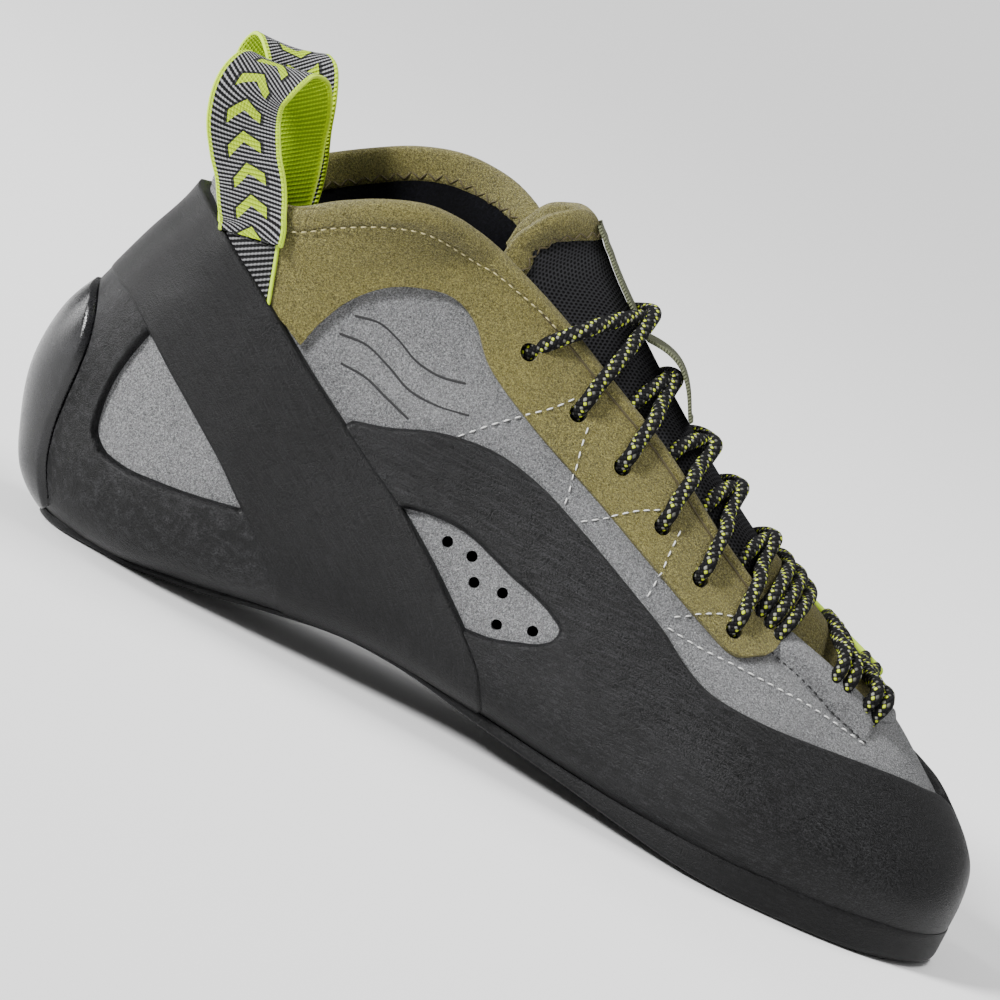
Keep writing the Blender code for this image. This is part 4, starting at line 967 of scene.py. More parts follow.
def ridge(grid):
    """Padded ridge between the lower throat and its seam, and soft unevenness all over."""
    u, w = grid[..., 0], grid[..., 1]
    base = skin(grid)
    lift = np.zeros(u.shape)
    for side, share in ((LATERAL, 1.0), (MEDIAL, 0.8)):
        seam = smooth_side(np.array(RIDGE_SEAM), side, 90)
        seam = seam[np.argsort(seam[:, 0])]
        span = np.clip((u - seam[0, 0]) / (seam[-1, 0] - seam[0, 0]), 0, 1)
        along = np.sin(np.pi * span) ** 0.35
        on_this_side = w * side > 0
        if not (along * on_this_side).any():
            continue
        rim = np.stack([seam[:, 0], throat_width(seam[:, 0], side)], 1)
        from_rim, from_seam = reach(base, [skin(rim)]), reach(base, [skin(seam)])
        between = (np.abs(w) > np.abs(np.interp(u, seam[:, 0], seam[:, 1]))) & on_this_side
        across = from_seam / np.maximum(from_rim + from_seam, 1e-9)
        swell = np.sin(np.pi * np.clip(across, 0, 1) * 0.82) ** 0.75 * between
        groove = np.exp(-((from_seam / RIDGE_GROOVE) ** 2)) * on_this_side
        lift = lift + share * along * (RIDGE_HEIGHT * swell - RIDGE_GROOVE * groove)
    x, z = base[..., 0], base[..., 2]
    return lift + UNEVENNESS * (np.sin(x * 190 + z * 70) * np.sin(z * 230 - x * 60))


def cylinder_cutter(name, places, bore):
    """One closed cylinder along the wall's normal at each (u, w)."""
    bm = bmesh.new()
    for uw in places:
        cone = bmesh.ops.create_cone(
            bm, cap_ends=True, segments=24, radius1=bore / 2, radius2=bore / 2, depth=CUTTER_LENGTH)
        normal = wall_normals(uw)
        across = np.cross([1.0, 0.0, 0.0], normal)
        across /= np.linalg.norm(across)
        turn = np.stack([across, np.cross(normal, across), normal], 1)
        centre = skin(uw)
        for vert in cone["verts"]:
            vert.co = turn @ np.array(vert.co) + centre
    mesh = bpy.data.meshes.new(name)
    bm.to_mesh(mesh)
    bm.free()
    mesh.transform(Matrix.Translation((-HEEL_REST_X, 0, 0)))
    made = bpy.data.objects.new(name, mesh)
    bpy.context.scene.collection.objects.link(made)
    return made


def build_upper(looks, holes):
    """Suede upper with its lining, open at the collar and over the sole."""
    grids = [upper_grid(LATERAL), upper_grid(MEDIAL)]
    points = [skin(g, ridge(g)) for g in grids]
    made = sheet("upper_suede", points, [wall_normals(g) for g in grids], [looks["grey"], looks["lining"]],
                 "grey_suede", "upper")
    solidified(made, UPPER_WALL, -1.0, 1)
    for cutter in holes:
        bored(made, cutter)
    settle(made)


def sole_grid(level, count, t):
    """(u, w) over the underside of the last inside the rim, from the toe to the heel."""
    toe, heel = feather_ends(level)
    u = toe + (heel - toe) * eased(count)
    lateral, medial = (feather(u, side, level) for side in (LATERAL, MEDIAL))
    lateral[[0, -1]] = medial[[0, -1]] = 0.0
    w = lateral[:, None] * (1 - t) + medial[:, None] * t
    return np.stack([np.broadcast_to(u[:, None], w.shape), w], -1)


def build_outsole(looks):
    """Top fitted to the last, an edge just proud of the rands, and the underside on its ground line."""
    t = eased(25)[None, :]
    top = skin(sole_grid(-FEATHER_RISE, 220, t), -0.0002)
    toe, heel = feather_ends(SOLE_TOE_RISE)[0], feather_ends(0.0)[1]
    u = toe + (heel - toe) * eased(220)
    x = last(u, 0.0)[:, 0] / LENGTH
    rise = SOLE_TOE_RISE * np.clip((x - 0.62) / 0.30, 0, 1) ** 1.3
    at_patch = np.clip(1.5 - x / 0.075, 0, 1)
    proud = RAND_HEIGHT + 0.0003 + (HEEL_PATCH_HEIGHT - RAND_HEIGHT + 0.0004) * at_patch
    bevel = SOLE_BEVEL + 0.0012 * np.clip(x / 0.06 - 15, 0, 1) + 0.0010 * np.clip(2 - x / 0.08, 0, 1)
    rim = {}
    for side in (LATERAL, MEDIAL):
        w = feather(u, side, rise)
        w[[0, -1]] = 0.0
        rim[side] = skin(np.stack([u, w], 1), proud)
        lowest = ground_height(rim[side][:, 0]) + bevel + 0.0005
        rim[side][:, 2] = np.maximum(rim[side][:, 2], lowest)
    centre = (rim[LATERAL] + rim[MEDIAL]) / 2
    walls = {}
    for side, line in rim.items():
        inward = centre - line
        size = np.maximum(np.linalg.norm(inward[:, :2], axis=1, keepdims=True), 1e-9)
        inward = inward / size
        floor = ground_height(line[:, 0])
        inner = line.copy()
        inner[:, :2] += inward[:, :2] * 0.0012
        rows = [top[:, 0 if side == LATERAL else -1], inner + [0, 0, 0.0001], line + inward * 0.0003]
        rows.append(line - [0, 0, SOLE_EDGE_ROUND])
        for share in (0.25, 0.5, 0.75, 1.0):
            row = line.copy()
            row[:, 2] = (line[:, 2] - SOLE_EDGE_ROUND) * (1 - share) + (floor + bevel) * share
            rows.append(row)
        for angle in np.linspace(0, np.pi / 2, 5)[1:]:
            row = line + inward * np.minimum(bevel[:, None] * (1 - np.cos(angle)), size)
            row[:, 2] = floor + bevel * (1 - np.sin(angle))
            rows.append(row)
        walls[side] = np.stack(rows, 1)
    under = walls[LATERAL][:, -1:] * (1 - t)[..., None] + walls[MEDIAL][:, -1:] * t[..., None]
    under[..., 2] = ground_height(under[..., 0])
    mesh = grid_mesh("outsole_rubber", [top, under, walls[LATERAL], walls[MEDIAL]])
    piece("outsole_rubber", mesh, [looks["sole"]], "black_rubber", "outsole")
    mesh.set_sharp_from_angle(angle=np.radians(50))


def build_insole(looks):
    grid = sole_grid(-2.4 * FEATHER_RISE, 90, np.linspace(0, 1, 25)[None, :])
    points = skin(grid, -UPPER_WALL * 0.9)
    sheet("insole_board", [points], [-wall_normals(grid)], [looks["board"]], "insole_board", "insole")


def strap_grid(side):
    """Half of the sling strap, from the back of the heel to the rim."""
    crowd = 1 - (1 - np.linspace(0, 1, 150)) ** 1.25
    upper, lower = (
        end_on_rim(spaced(smooth_side(edge, side, 240, True), crowd), side)
        for edge in (STRAP_UPPER, STRAP_LOWER)
    )
    t = eased(31)[None, :, None]
    return (1 - t) * lower[:, None] + t * upper[:, None]


def build_strap(looks):
    grids = [strap_grid(LATERAL), strap_grid(MEDIAL)]
    overlay("sling_strap_rubber", grids, [("low", "high")] * 2, STRAP_HEIGHT, 0.0010, [looks["strap"]],
            "black_rubber", "sling_strap")


def rand_front(side):
    """The rand's toe half by stations, and the upper edge of all of it."""
    strap = end_on_rim(smooth_side(shifted(STRAP_UPPER, -UNDER_STRAP)[4:], side, 160), side)
    top = smooth_side(RAND_TOP, side, 400)[::-1]
    strap = strap[nearest(strap, top[-1]):][::-1]
    top[-1] = strap[-1]
    cross = crown_at(RAND_CROSS_X)
    top = np.concatenate([straight(np.array([cross, side * 2.0]), top[0], 24)[:-1], top])
    if side == MEDIAL:
        near = np.clip(1 - (top[:, 0] - cross) / 0.25, 0, 1)
        top[:, 1] = np.minimum(top[:, 1] + RAND_MEDIAL_RISE * near, 2.0)
    toe = feather_ends(0.0)[0]
    turn = on_side([(0.62, 0.2)], side)[0][0]
    u = toe + (turn - toe) * (1 - np.cos(np.linspace(0, np.pi * 0.7, 120))) / (1 - np.cos(np.pi * 0.7))
    front = np.sort(np.concatenate([toe_stations(0.0, 24)[:-1], u, [cross]]))
    rising = np.maximum.accumulate(top[:, 0])
    above = np.where(front <= cross, side * 2.0, np.interp(front, rising, top[:, 1]))
    low = rim_path(front, side)
    t = (1 - (1 - np.linspace(0, 1, 45)) ** 1.6)[None, :, None]
    grid = (1 - t) * low[:, None] + t * np.stack([front, above], 1)[:, None]
    high = np.concatenate([grid[-1:, -1], top[int(np.argmax(rising > front[-1])):]])
    return grid, high, strap, low[-1]


def build_front_rand(looks):
    """Rubber from the strap round the toe to the strap, with a window at the lateral arch."""
    lateral, high, strap, foot = rand_front(LATERAL)
    corner = spaced(high, 130)[::-1]
    sole = rim_path(np.linspace(foot[0], strap[0, 0], 60), LATERAL)
    sole[-1] = strap[0]
    outer = np.concatenate([corner, lateral[-1][::-1][1:], sole[1:]])
    run = path_length(outer)
    inner = spaced(smooth_side(ARCH_WINDOW_EDGE, LATERAL, 400), run / run[-1])
    first, final = (nearest(strap, inner[k]) for k in (0, -1))
    inner[0], inner[-1] = strap[first], strap[final]
    left, right = (spaced(part, eased(41)) for part in (strap[first:][::-1], strap[: final + 1]))
    around = coons(outer, inner, left, right)
    medial, high, strap, foot = rand_front(MEDIAL)
    sole = rim_path(np.linspace(foot[0], strap[0, 0], 100), MEDIAL)
    sole[-1] = strap[0]
    high = spaced(high, 100)
    run = path_length(medial[-1])
    plain = coons(sole, high, medial[-1], spaced(strap, run / run[-1]))

    grids = [lateral, medial, around, plain]
    rims = [last(*np.concatenate([lateral[:, -1], corner[::-1]]).T), last(*inner.T)]
    rims_medial = [last(*np.concatenate([medial[:, -1], high]).T)]
    free = [("high",), ("high",), ("high",), ()]
    points = []
    for grid, sides, lines in zip(grids, free, (rims, rims_medial, rims, rims_medial)):
        base = skin(grid)
        distance = np.minimum(edge_distance(base, sides), reach(base, lines))
        points.append(skin(grid, quarter_round(distance, RAND_HEIGHT, 0.0014)))
    sheet("front_rand_rubber", points, [wall_normals(g) for g in grids], [looks["rand"]], "black_rubber",
          "front_rand")


def build_heel_rands(looks):
    """A band down the heel patch and forward along the sole, round the window that shows the suede."""
    for side, name in ((LATERAL, "heel_rand_lateral"), (MEDIAL, "heel_rand_medial")):
        patch = smooth_side(shifted(HEEL_PATCH, 0.0002), side, 160)
        centre = [[on_side([(HEEL_PATCH_X, HEEL_PATCH_TOP)], side)[0][0], 0.0]]
        patch = end_on_rim(np.concatenate([centre, patch]), side)
        strap = end_on_rim(smooth_side(shifted(STRAP_LOWER, UNDER_STRAP), side, 200, True), side)
        sole = rim_path(np.linspace(patch[-1, 0], strap[-1, 0], 120), side)
        sole[0], sole[-1] = patch[-1], strap[-1]
        outer = spaced(np.concatenate([patch, sole[1:]]), 220)
        inner = spaced(smooth_side(HEEL_WINDOW, side, 300), 220)
        first, final = (nearest(strap, inner[k]) for k in (0, -1))
        inner[0], inner[-1] = strap[first], strap[final]
        left = spaced(np.concatenate([outer[:1], strap[: first + 1]]), eased(33))
        right = spaced(strap[final:][::-1], eased(33))
        overlay(name + "_rubber", [coons(outer, inner, left, right)], [("high",)], HEEL_RAND_HEIGHT, 0.0013,
                [looks["heel_rand"]], "black_rubber", name)


def build_heel_patch(looks):
    """Glossy moulded piece over the back of the heel, with a soft bulge."""
    crown = on_side([(HEEL_PATCH_X, HEEL_PATCH_TOP)], LATERAL)[0]
    middle = np.stack([np.linspace(crown[0], feather_ends(0.0)[1], 90), np.zeros(90)], 1)
    t = (np.linspace(0, 1, 31) ** 1.5)[None, :, None]
    edges = [end_on_rim(smooth_side(HEEL_PATCH, side, 90), side) for side in (LATERAL, MEDIAL)]
    grids = [(1 - t) * line[:, None] + t * middle[:, None] for line in edges]

    def swell(grid, base):
        share = np.linspace(0, 1, len(grid))
        inside = np.clip(run_length(base, 1) / 0.012, 0, 1)
        down = np.sin(np.pi * share)[:, None] ** 0.6
        top = np.clip(1 - share / 0.22, 0, 1)[:, None] ** 2
        bulge = HEEL_PATCH_BULGE * inside * (2 - inside) * down
        return bulge + (HEEL_RAND_HEIGHT - HEEL_PATCH_HEIGHT + 0.0004) * top

    overlay("heel_patch_rubber", grids, [("low", "start")] * 2, HEEL_PATCH_HEIGHT, 0.0022, [looks["gloss"]],
            "heel_rubber", "heel_patch", swell=swell)


def build_facings(looks, holes):
    """Folded collar and eyestay on both sides, with their eyelets bored through."""
    for side, name in ((LATERAL, "facing_lateral"), (MEDIAL, "facing_medial")):
        table = FACING.copy()
        if side == MEDIAL:
            table[:, 3] += np.interp(table[:, 2], OPENING[:, 0], OPENING[:, 2] - OPENING[:, 1])
        dense = hermite(np.linspace(0, 1, len(table)), table, np.linspace(0, 1, 200))
        low, high = on_side(dense[:, :2], side), on_side(dense[:, 2:], side)
        left = spaced(np.concatenate([low[:1], on_side(FACING_BACK, side), high[:1]]), 28)
        right = straight(low[-1], high[-1], 28)
        right[:, 0] -= FACING_NOSE * np.sin(np.pi * np.linspace(0, 1, 28)) ** 0.8
        grid = coons(low, high, left, right)
        made = sheet(name + "_suede", [skin(grid, FACING_SEAT_GAP - 0.0007)], [wall_normals(grid)],
                     [looks["olive"]], "olive_suede", name)
        solidified(made, FACING_WALL + 0.0002, 1.0)
        rounded_edges(made, 0.0005, 3)
        bored(made, holes)
        settle(made)


def edge_frame(side, count):
    """Points of the opening's edge with the wall's normal and the way down the wall."""
    edge = opening_edge(side, count)
    point, normal = skin(edge), wall_normals(edge)
    return point, normal, side * np.cross(normal, frames(point))


def rolled(point, normal, down, profile):
    """Sweeps a profile of (down, out) pairs, one row for each point, along an edge."""
    rows = []
    for p, n, d, row in zip(point, normal, down, profile):
        smooth = hermite(np.linspace(0, 1, len(row)), row, np.linspace(0, 1, 25))
        rows.append(p + smooth[:, :1] * d + smooth[:, 1:] * n)
    return np.array(rows)


def roll_profile(hem, out, puff, depth, inside):
    """(down, out) pairs from the hem on the outside, over the edge and down the inside."""
    return np.array([
        (hem, out - 0.0006), (hem * 0.93, out + 0.0001),
        (hem * 0.55, out + puff), (hem * 0.15, out + puff * 0.7),
        (-0.0007, out - 0.0004), (-0.0014, (out - inside) / 2), (-0.0009, -inside - 0.0002),
        (0.0008, -inside - 0.0008), (depth * 0.5, -inside - 0.0008), (depth * 0.93, -inside - 0.0004),
        (depth, -inside + 0.0006),
    ])


def build_collar(looks):
    """The rolled edge of collar and throat, olive where the facing folds over it and grey elsewhere."""
    seams = []
    out = FACING_SEAT_GAP + FACING_WALL - 0.0004
    for side, name in ((LATERAL, "lateral"), (MEDIAL, "medial")):
        point, normal, down = edge_frame(side, 700)
        x = point[:, 0] / LENGTH
        collar = np.clip((0.40 - x) / 0.08, 0, 1)
        hem = EYESTAY_HEM + (COLLAR_HEM - EYESTAY_HEM) * collar
        depth = 0.0030 + 0.0048 * collar
        faced = (x > FACED_FROM) & (x < FACED_TO)
        for part, chosen, top, look, slot in (
            ("collar", faced, out, "olive", "olive_suede"),
            ("heel_tab", x <= FACED_FROM + 0.003, 0.0003, "grey", "grey_suede"),
            ("throat", x >= FACED_TO - 0.003, 0.0003, "grey", "grey_suede"),
        ):
            sizes = zip(hem[chosen], depth[chosen])
            profile = [roll_profile(h, top, 0.0007, d, UPPER_WALL) for h, d in sizes]
            grid = rolled(point[chosen], normal[chosen], down[chosen], profile)
            ways = np.repeat(normal[chosen][:, None], 6, 1)
            sheet(f"{part}_edge_{name}", [grid], [ways], [looks[look]], slot, tested=[grid[:, 6:12]])
        at_hem = point + down * (hem + 0.0001)[:, None]
        around_ankle, along_eyestay = faced & (x < 0.42), faced & (x > 0.40)
        seams.append(((at_hem + normal * (out + 0.0004))[around_ankle], normal[around_ankle]))
        # Along the eyestay a thin dark cord in the tan thread's colour lies sunk in the hem's groove: it is
        # painted shade of the groove.
        groove = (at_hem + normal * (out - 0.0001))[along_eyestay]
        cords(f"eyestay_groove_shade_{name}", [groove], 0.0003, [looks["tan_thread"]], "olive_suede", around=8)
        zigzag = point + down * (depth * 0.80)[:, None] - normal * (UPPER_WALL + 0.0005)
        zigzag = [(zigzag[around_ankle], -normal[around_ankle])]
        stitches(f"collar_zigzag_{name}", zigzag, looks["tan_thread"], "olive_suede",
                 0.0030, -0.0010, 0.00022, 0.75)
    stitches("collar_seam", seams, looks["cream_thread"], "olive_suede", 0.0015, 0.0009, 0.0002)


def build_seams(looks):
    """White stitching of the quarter, the dark seam under the ridge and the patch's plain lines."""
    over = FACING_SEAT_GAP + FACING_WALL - 0.0005
    for side, name in ((LATERAL, "lateral"), (MEDIAL, "medial")):
        seams = []
        for table in SEAMS.values():
            path = smooth_side(np.array(table), side, 160)
            seams.append((skin(path, over * facing_share(path, side) + 0.0001), wall_normals(path)))
        stitches(f"quarter_stitches_{name}", seams, looks["white_thread"], "grey_suede",
                 0.0018, 0.0010, 0.00021)
        path = smooth_side(np.array(RIDGE_SEAM), side, 160)
        seam = (skin(path, ridge(path[None])[0] + 0.0006), wall_normals(path))
        stitches(f"ridge_stitches_{name}", [seam], looks["black_thread"], "grey_suede",
                 0.0013, 0.0009, 0.00024)
        lines = [skin(smooth_side(np.array(table), side, 160), -0.00008) for table in PATCH_LINES]
        cords(f"patch_lines_{name}", lines, 0.00032, [looks["black_thread"]], "grey_suede", around=8)


def facing_share(path, side):
    """1 where a path runs over the facing and 0 where it runs over the upper."""
    place = last(*path.T)[:, [0, 2]]
    edge = FACING[:, :2] * [LENGTH, ANKLE_HEIGHT]
    low = np.interp(place[:, 0], edge[4:, 0], edge[4:, 1])
    inside = (place[:, 1] > low) & (place[:, 0] > edge[6, 0]) & (place[:, 0] < edge[-1, 0])
    return np.convolve(np.pad(inside.astype(float), 2, mode="edge"), np.ones(5) / 5, "valid")


def tongue_edge(side):
    """Lower edge of the tongue, tucked under the flap."""
    front = crown_at(THROAT_END_X) - 0.012
    corner = on_side(TONGUE_TOP[:1], side)[0]
    u = np.linspace(front, corner[0] - 0.13, 60)
    w = throat_width(np.maximum(u, crown_at(THROAT_END_X) + 0.012), side)
    w = w - side * TONGUE_TUCK * np.clip((u - front) / 0.03, 0.3, 1)
    return np.concatenate([np.stack([u, w], 1), [corner]])


def tongue_lift(grid):
    """The tongue lies under the wall and swells up between the flaps."""
    u, w = grid[..., 0], grid[..., 1]
    edge = np.abs(np.where(w < 0, throat_width(u, LATERAL), throat_width(u, MEDIAL)))
    free = np.clip((np.abs(w) - edge - 0.03) / (1.99 - edge) * 1.6, 0, 1)
    past = np.clip((u - crown_at(THROAT_END_X) - 0.004) / 0.03, 0, 1)
    return -TONGUE_DEPTH + TONGUE_CROWN * free**2 * (3 - 2 * free) * past


def tongue_grid(side):
    bottom = spaced(tongue_edge(side), 130)
    top = np.stack([np.linspace(bottom[0, 0], TONGUE_CROWN_U, 130), np.full(130, side * 2.0)], 1)
    end = np.concatenate([on_side(TONGUE_TOP, side), [[TONGUE_CROWN_U, side * 2.0]]])
    run = line_length(end)
    end = hermite(run, end, np.linspace(0, run[-1], 90))
    return coons(bottom, spaced(top, 130), straight(bottom[0], top[0], 34), spaced(end, 34))


def build_tongue(looks):
    """Black mesh with an olive binding rolled over its free edge."""
    grids = [tongue_grid(LATERAL), tongue_grid(MEDIAL)]
    points = [skin(g, tongue_lift(g)) for g in grids]
    made = sheet("tongue_mesh", points, [wall_normals(g) for g in grids], [looks["mesh"], looks["lining"]],
                 "black_mesh", "tongue")
    solidified(made, TONGUE_WALL, -1.0, 1)
    settle(made)
    path = np.concatenate([grids[0][-1], grids[1][-1][::-1][1:]])
    lift = np.concatenate([tongue_lift(grids[0])[-1], tongue_lift(grids[1])[-1][::-1][1:]])
    point, normal = skin(path, lift), wall_normals(path)
    line = smooth_line(point, 260)
    run = line_length(point)
    at = np.linspace(0, run[-1], 260)
    up = np.stack([np.interp(at, run, normal[:, k]) for k in range(3)], 1)
    inward = np.cross(up, frames(line))
    toward = skin(np.array([path[len(path) // 2] - [0.02, 0]]))[0] - line[130]
    if np.dot(inward[130], toward) < 0:
        inward = -inward
    profile = np.array([
        (BINDING_WIDTH, -0.0002), (BINDING_WIDTH * 0.93, 0.0005), (BINDING_WIDTH * 0.5, 0.0008),
        (0.0012, 0.0007), (-0.0008, -0.0002), (-0.0011, -0.0012), (-0.0006, -0.0024), (0.0012, -0.0030),
        (BINDING_WIDTH * 0.9, -0.0028), (BINDING_WIDTH, -0.0020),
    ])
    grid = rolled(line, up, inward, [profile] * len(line))
    sheet("tongue_binding", [grid], [np.repeat(up[:, None], 6, 1)], [looks["olive"]], "olive_suede",
          tested=[grid[:, 2:8]])
    seam = line + inward * BINDING_WIDTH * 0.80
    stitches("tongue_stitches", [(seam + up * 0.0008, up), (seam - up * 0.0031, -up)], looks["tan_thread"],
             "olive_suede", 0.0026, -0.0008, 0.00022, 0.7)


def build_tongue_toe(looks):
    """Olive suede over the toe end of the tongue."""
    u = np.linspace(crown_at(0.848), crown_at(0.690), 60)
    t = np.linspace(0, 1, 30)[None, :]
    grids, points = [], []
    for side in (LATERAL, MEDIAL):
        low = throat_width(np.maximum(u, crown_at(THROAT_END_X) + 0.012), side) - side * 0.10
        w = low[:, None] * (1 - t) + side * 2.0 * t
        grid = np.stack([np.broadcast_to(u[:, None], w.shape), w], -1)
        lift = tongue_lift(grid)
        grids.append(grid)
        distance = edge_distance(skin(grid, lift), ("end",))
        points.append(skin(grid, lift + quarter_round(distance, 0.0010, 0.001)))
    sheet("tongue_toe_suede", points, [wall_normals(g) for g in grids], [looks["olive"]], "olive_suede")


def strand(start, end, crown, over, rest, bump, in_eyelet):
    """One strand: up out of its eyelet, over the flap's edge, across the tongue and under the other flap.

    The top pair ends in the eyelets of the other side instead.
    """
    t = np.linspace(0, 1, 90)
    far = end[1] - 4.0 if start[1] < 0 else end[1] + 4.0
    bow = ((start[0] + end[0]) / 2 - crown) * np.sin(np.pi * t) ** 2
    uw = np.stack([start[0] + (end[0] - start[0]) * t - bow, start[1] + (far - start[1]) * t], 1)
    keys = [0.0, 0.03, 0.08, 0.20, 0.30, 0.42, 0.50, 0.58, 0.72, 0.90, 1.0]
    lifts = [LACE_EYELET, over * 0.8, over, over + 0.0005, rest + 0.0006, rest + bump * 0.5, rest + bump,
             rest + bump * 0.5, rest]
    lifts += [over, LACE_EYELET] if in_eyelet else [rest - 0.0008, rest - 0.0022]
    return skin(uw, hermite(keys, np.array(lifts), t))


def build_laces(looks):
    """The crossings between the eyelets, then the bundles of passes over the lower throat."""
    over = FACING_SEAT_GAP + FACING_WALL + LACE_DIAMETER / 2 - 0.0006
    on_tongue = LACE_DIAMETER / 2 - TONGUE_DEPTH + TONGUE_CROWN
    eyelets = {side: on_side(EYELETS, side) for side in (LATERAL, MEDIAL)}
    for i in range(1, len(EYELETS)):
        rest = on_tongue + (0.0009 if i == 1 else -0.0004)
        lines = []
        for side in (LATERAL, MEDIAL):
            start, end = eyelets[side][i], eyelets[-side][i - 1].copy()
            if i > 1:
                end[0] += 0.55 * (start[0] - end[0])
                end[1] = throat_width(end[:1], -side)[0] + side * 0.06
            bump = (0.0014 if i == 2 else 0.0021) if side == LATERAL else -0.0009
            lines.append(strand(start, end, crown_at(LACE_CROWNS[i - 1]), over, rest, bump, i == 1))
        cords(f"lace_{i}", lines, LACE_DIAMETER / 2, [looks["braid"]], "lace_cord", f"lace_crossing_{i}",
              flat=LACE_FLAT)
    t = np.linspace(0, 1, 90)
    for number, passes in enumerate(LACE_PASSES):
        at_rim = 0.0046 if number else 0.0030
        lines = []
        for lateral, crown, medial, lift in passes:
            start, end = throat_point(lateral, LATERAL), throat_point(medial, MEDIAL) - [0.0, 4.0]
            keys = np.array([start, [crown_at(crown), -2.0], end])
            middle = (keys[1, 1] - keys[0, 1]) / (keys[2, 1] - keys[0, 1])
            path = hermite([0, middle, 1], keys, t)
            half = [-0.0010, at_rim, at_rim + 0.0008, on_tongue + 0.0014]
            heights = np.array([*half, on_tongue + lift, *half[::-1]])
            lines.append(skin(path, hermite([0, 0.06, 0.13, 0.28, 0.5, 0.72, 0.87, 0.94, 1], heights, t)))
        cords(f"lace_pass_{number + 1}", lines, LACE_DIAMETER / 2, [looks["braid"]], "lace_cord",
              f"lace_bar_{number + 1}", flat=LACE_FLAT)


def throat_point(share, side):
    """(u, w) just outside the throat's edge where it has this x share."""
    height = np.interp(share, OPENING[:, 0], OPENING[:, 1])
    point = on_side([(share, height)], side)[0]
    point[1] = throat_width(point[:1], side)[0] - side * 0.07
    return point


def ribbon(name, centres, across, wall, surfaces, slot, *nodes):
    """Woven tape with rounded edges: a flat closed section swept along a line."""
    up = np.cross(frames(centres), across)
    up /= np.linalg.norm(up, axis=1, keepdims=True)
    t = np.concatenate([np.linspace(-1, 1, 17), [1.02], np.linspace(1, -1, 17), [-1.02], [-1]])
    rise = np.concatenate([np.full(17, 1.0), [0.0], np.full(17, -1.0), [0.0], [1.0]]) * wall / 2
    grid = centres[:, None] + across[:, None] * t[None, :, None] + up[:, None] * rise[None, :, None]
    piece(name, grid_mesh(name, [grid[:, :18], grid[:, 17:]]), surfaces, slot, *nodes)


def build_pull_loop(name, side, looks):
    """Webbing loop with a lime inside and edges. Its outer leg meets the tab on the wall."""
    t = np.linspace(0, 1, 140)
    rows = hermite(np.linspace(0, 1, len(PULL_LOOP)), PULL_LOOP, t)
    centres, slope, turn = rows[:, :3].copy(), np.radians(rows[:, 3]), np.radians(rows[:, 4])
    if side == MEDIAL:
        top = np.sin(np.pi * t) ** 2
        centres[:, 2] += MEDIAL_LOOP_UP * top
        centres[:, 0] -= MEDIAL_LOOP_BACK * top
    across = np.stack([np.cos(slope), np.sin(turn), np.sin(slope)], 1)
    wall = skin(on_side([centres[0, [0, 2]] / [LENGTH, ANKLE_HEIGHT]], LATERAL))[0]
    push = max(0.0, TAB_LIFT - WEBBING_WALL / 2 - (wall[1] - centres[0, 1]))
    centres[:, 1] -= push * np.clip(1 - t / 0.2, 0, 1)
    tangent = frames(centres)
    across -= tangent * (across * tangent).sum(1, keepdims=True)
    across *= WEBBING_WIDTH / 2 / np.linalg.norm(across, axis=1, keepdims=True)
    corners = {way: (centres[0] + way * across[0])[[0, 2]] / [LENGTH, ANKLE_HEIGHT] for way in (-1, 1)}
    if side == MEDIAL:
        centres[:, 1] *= -1
        across[:, 1] *= -1
    up = np.cross(frames(centres), across)
    up /= np.linalg.norm(up, axis=1, keepdims=True)
    up *= np.sign((up * (centres - centres.mean(0))).sum(1).mean())
    width = np.linspace(-1, 1, 41)[None, :, None]
    half = WEBBING_WALL / 2
    for suffix, way, look, nodes in (("outer", 1, "webbing", [name]), ("inner", -1, "lime_webbing", [])):
        grid = centres[:, None] + across[:, None] * width + up[:, None] * half * way
        ways = np.repeat(up[:, None] * way, 41, 1)
        sheet(f"{name}_{suffix}", [grid], [ways], [looks[look]], "webbing", *nodes)
    edges = [centres + across * way * 0.985 for way in (-1, 1)]
    cords(f"{name}_edges", edges, half * 0.85, [looks["lime"]], "webbing", around=10)
    build_pull_tab(name, side, corners, looks)


def build_pull_tab(name, side, corners, looks):
    """The webbing's sewn end, which runs down the wall and under the sling strap."""
    ahead = np.array(TAB_RUN) / [LENGTH, ANKLE_HEIGHT]
    t = np.linspace(-0.28, 1, 40)[:, None, None]
    s = np.linspace(0, 1, 25)[None, :, None]
    place = (1 - s) * corners[-1] + s * corners[1] + t * ahead
    grid = on_side(place.reshape(-1, 2), side).reshape(40, 25, 2)
    lift = quarter_round(edge_distance(skin(grid), ("low", "high")), TAB_LIFT, 0.0004)
    points = skin(grid, lift + 0.0009 * np.clip(-t[:, :, 0] / 0.2, 0, 1))
    normal = wall_normals(grid)
    sheet(f"{name}_tab", [points], [normal], [looks["tab"]], "webbing")
    cords(f"{name}_tab_edges", [points[:, k] for k in (1, -2)], 0.0005, [looks["lime"]], "webbing", around=8)
    rows = [(points[k, 2:-2], normal[k, 2:-2]) for k in (1, 10)]
    rows += [(points[1:11, k], normal[1:11, k]) for k in (3, -4)]
    stitches(f"{name}_tab_stitches", rows, looks["black_thread"], "webbing", 0.0016, 0.0003, 0.0003)


def build_keeper(looks):
    """Lace keeper down the middle of the tongue, with its free loop over the second crossing."""
    start, end = (crown_at(share) for share in KEEPER_LOOP)
    u = np.linspace(KEEPER_START_U, end - 0.004, 120)
    place = np.stack([u, np.full(120, 2.0)], 1)
    bulge = np.clip((u - end) / (start - end), 0, 1)
    centres = skin(place, tongue_lift(place) + KEEPER_WALL + KEEPER_BULGE * np.sin(np.pi * bulge))
    across = np.tile([0.0, KEEPER_WIDTH / 2, 0.0], (120, 1))
    ribbon("lace_keeper_tape", centres, across, KEEPER_WALL, [looks["keeper"]], "keeper_webbing",
           "lace_keeper")


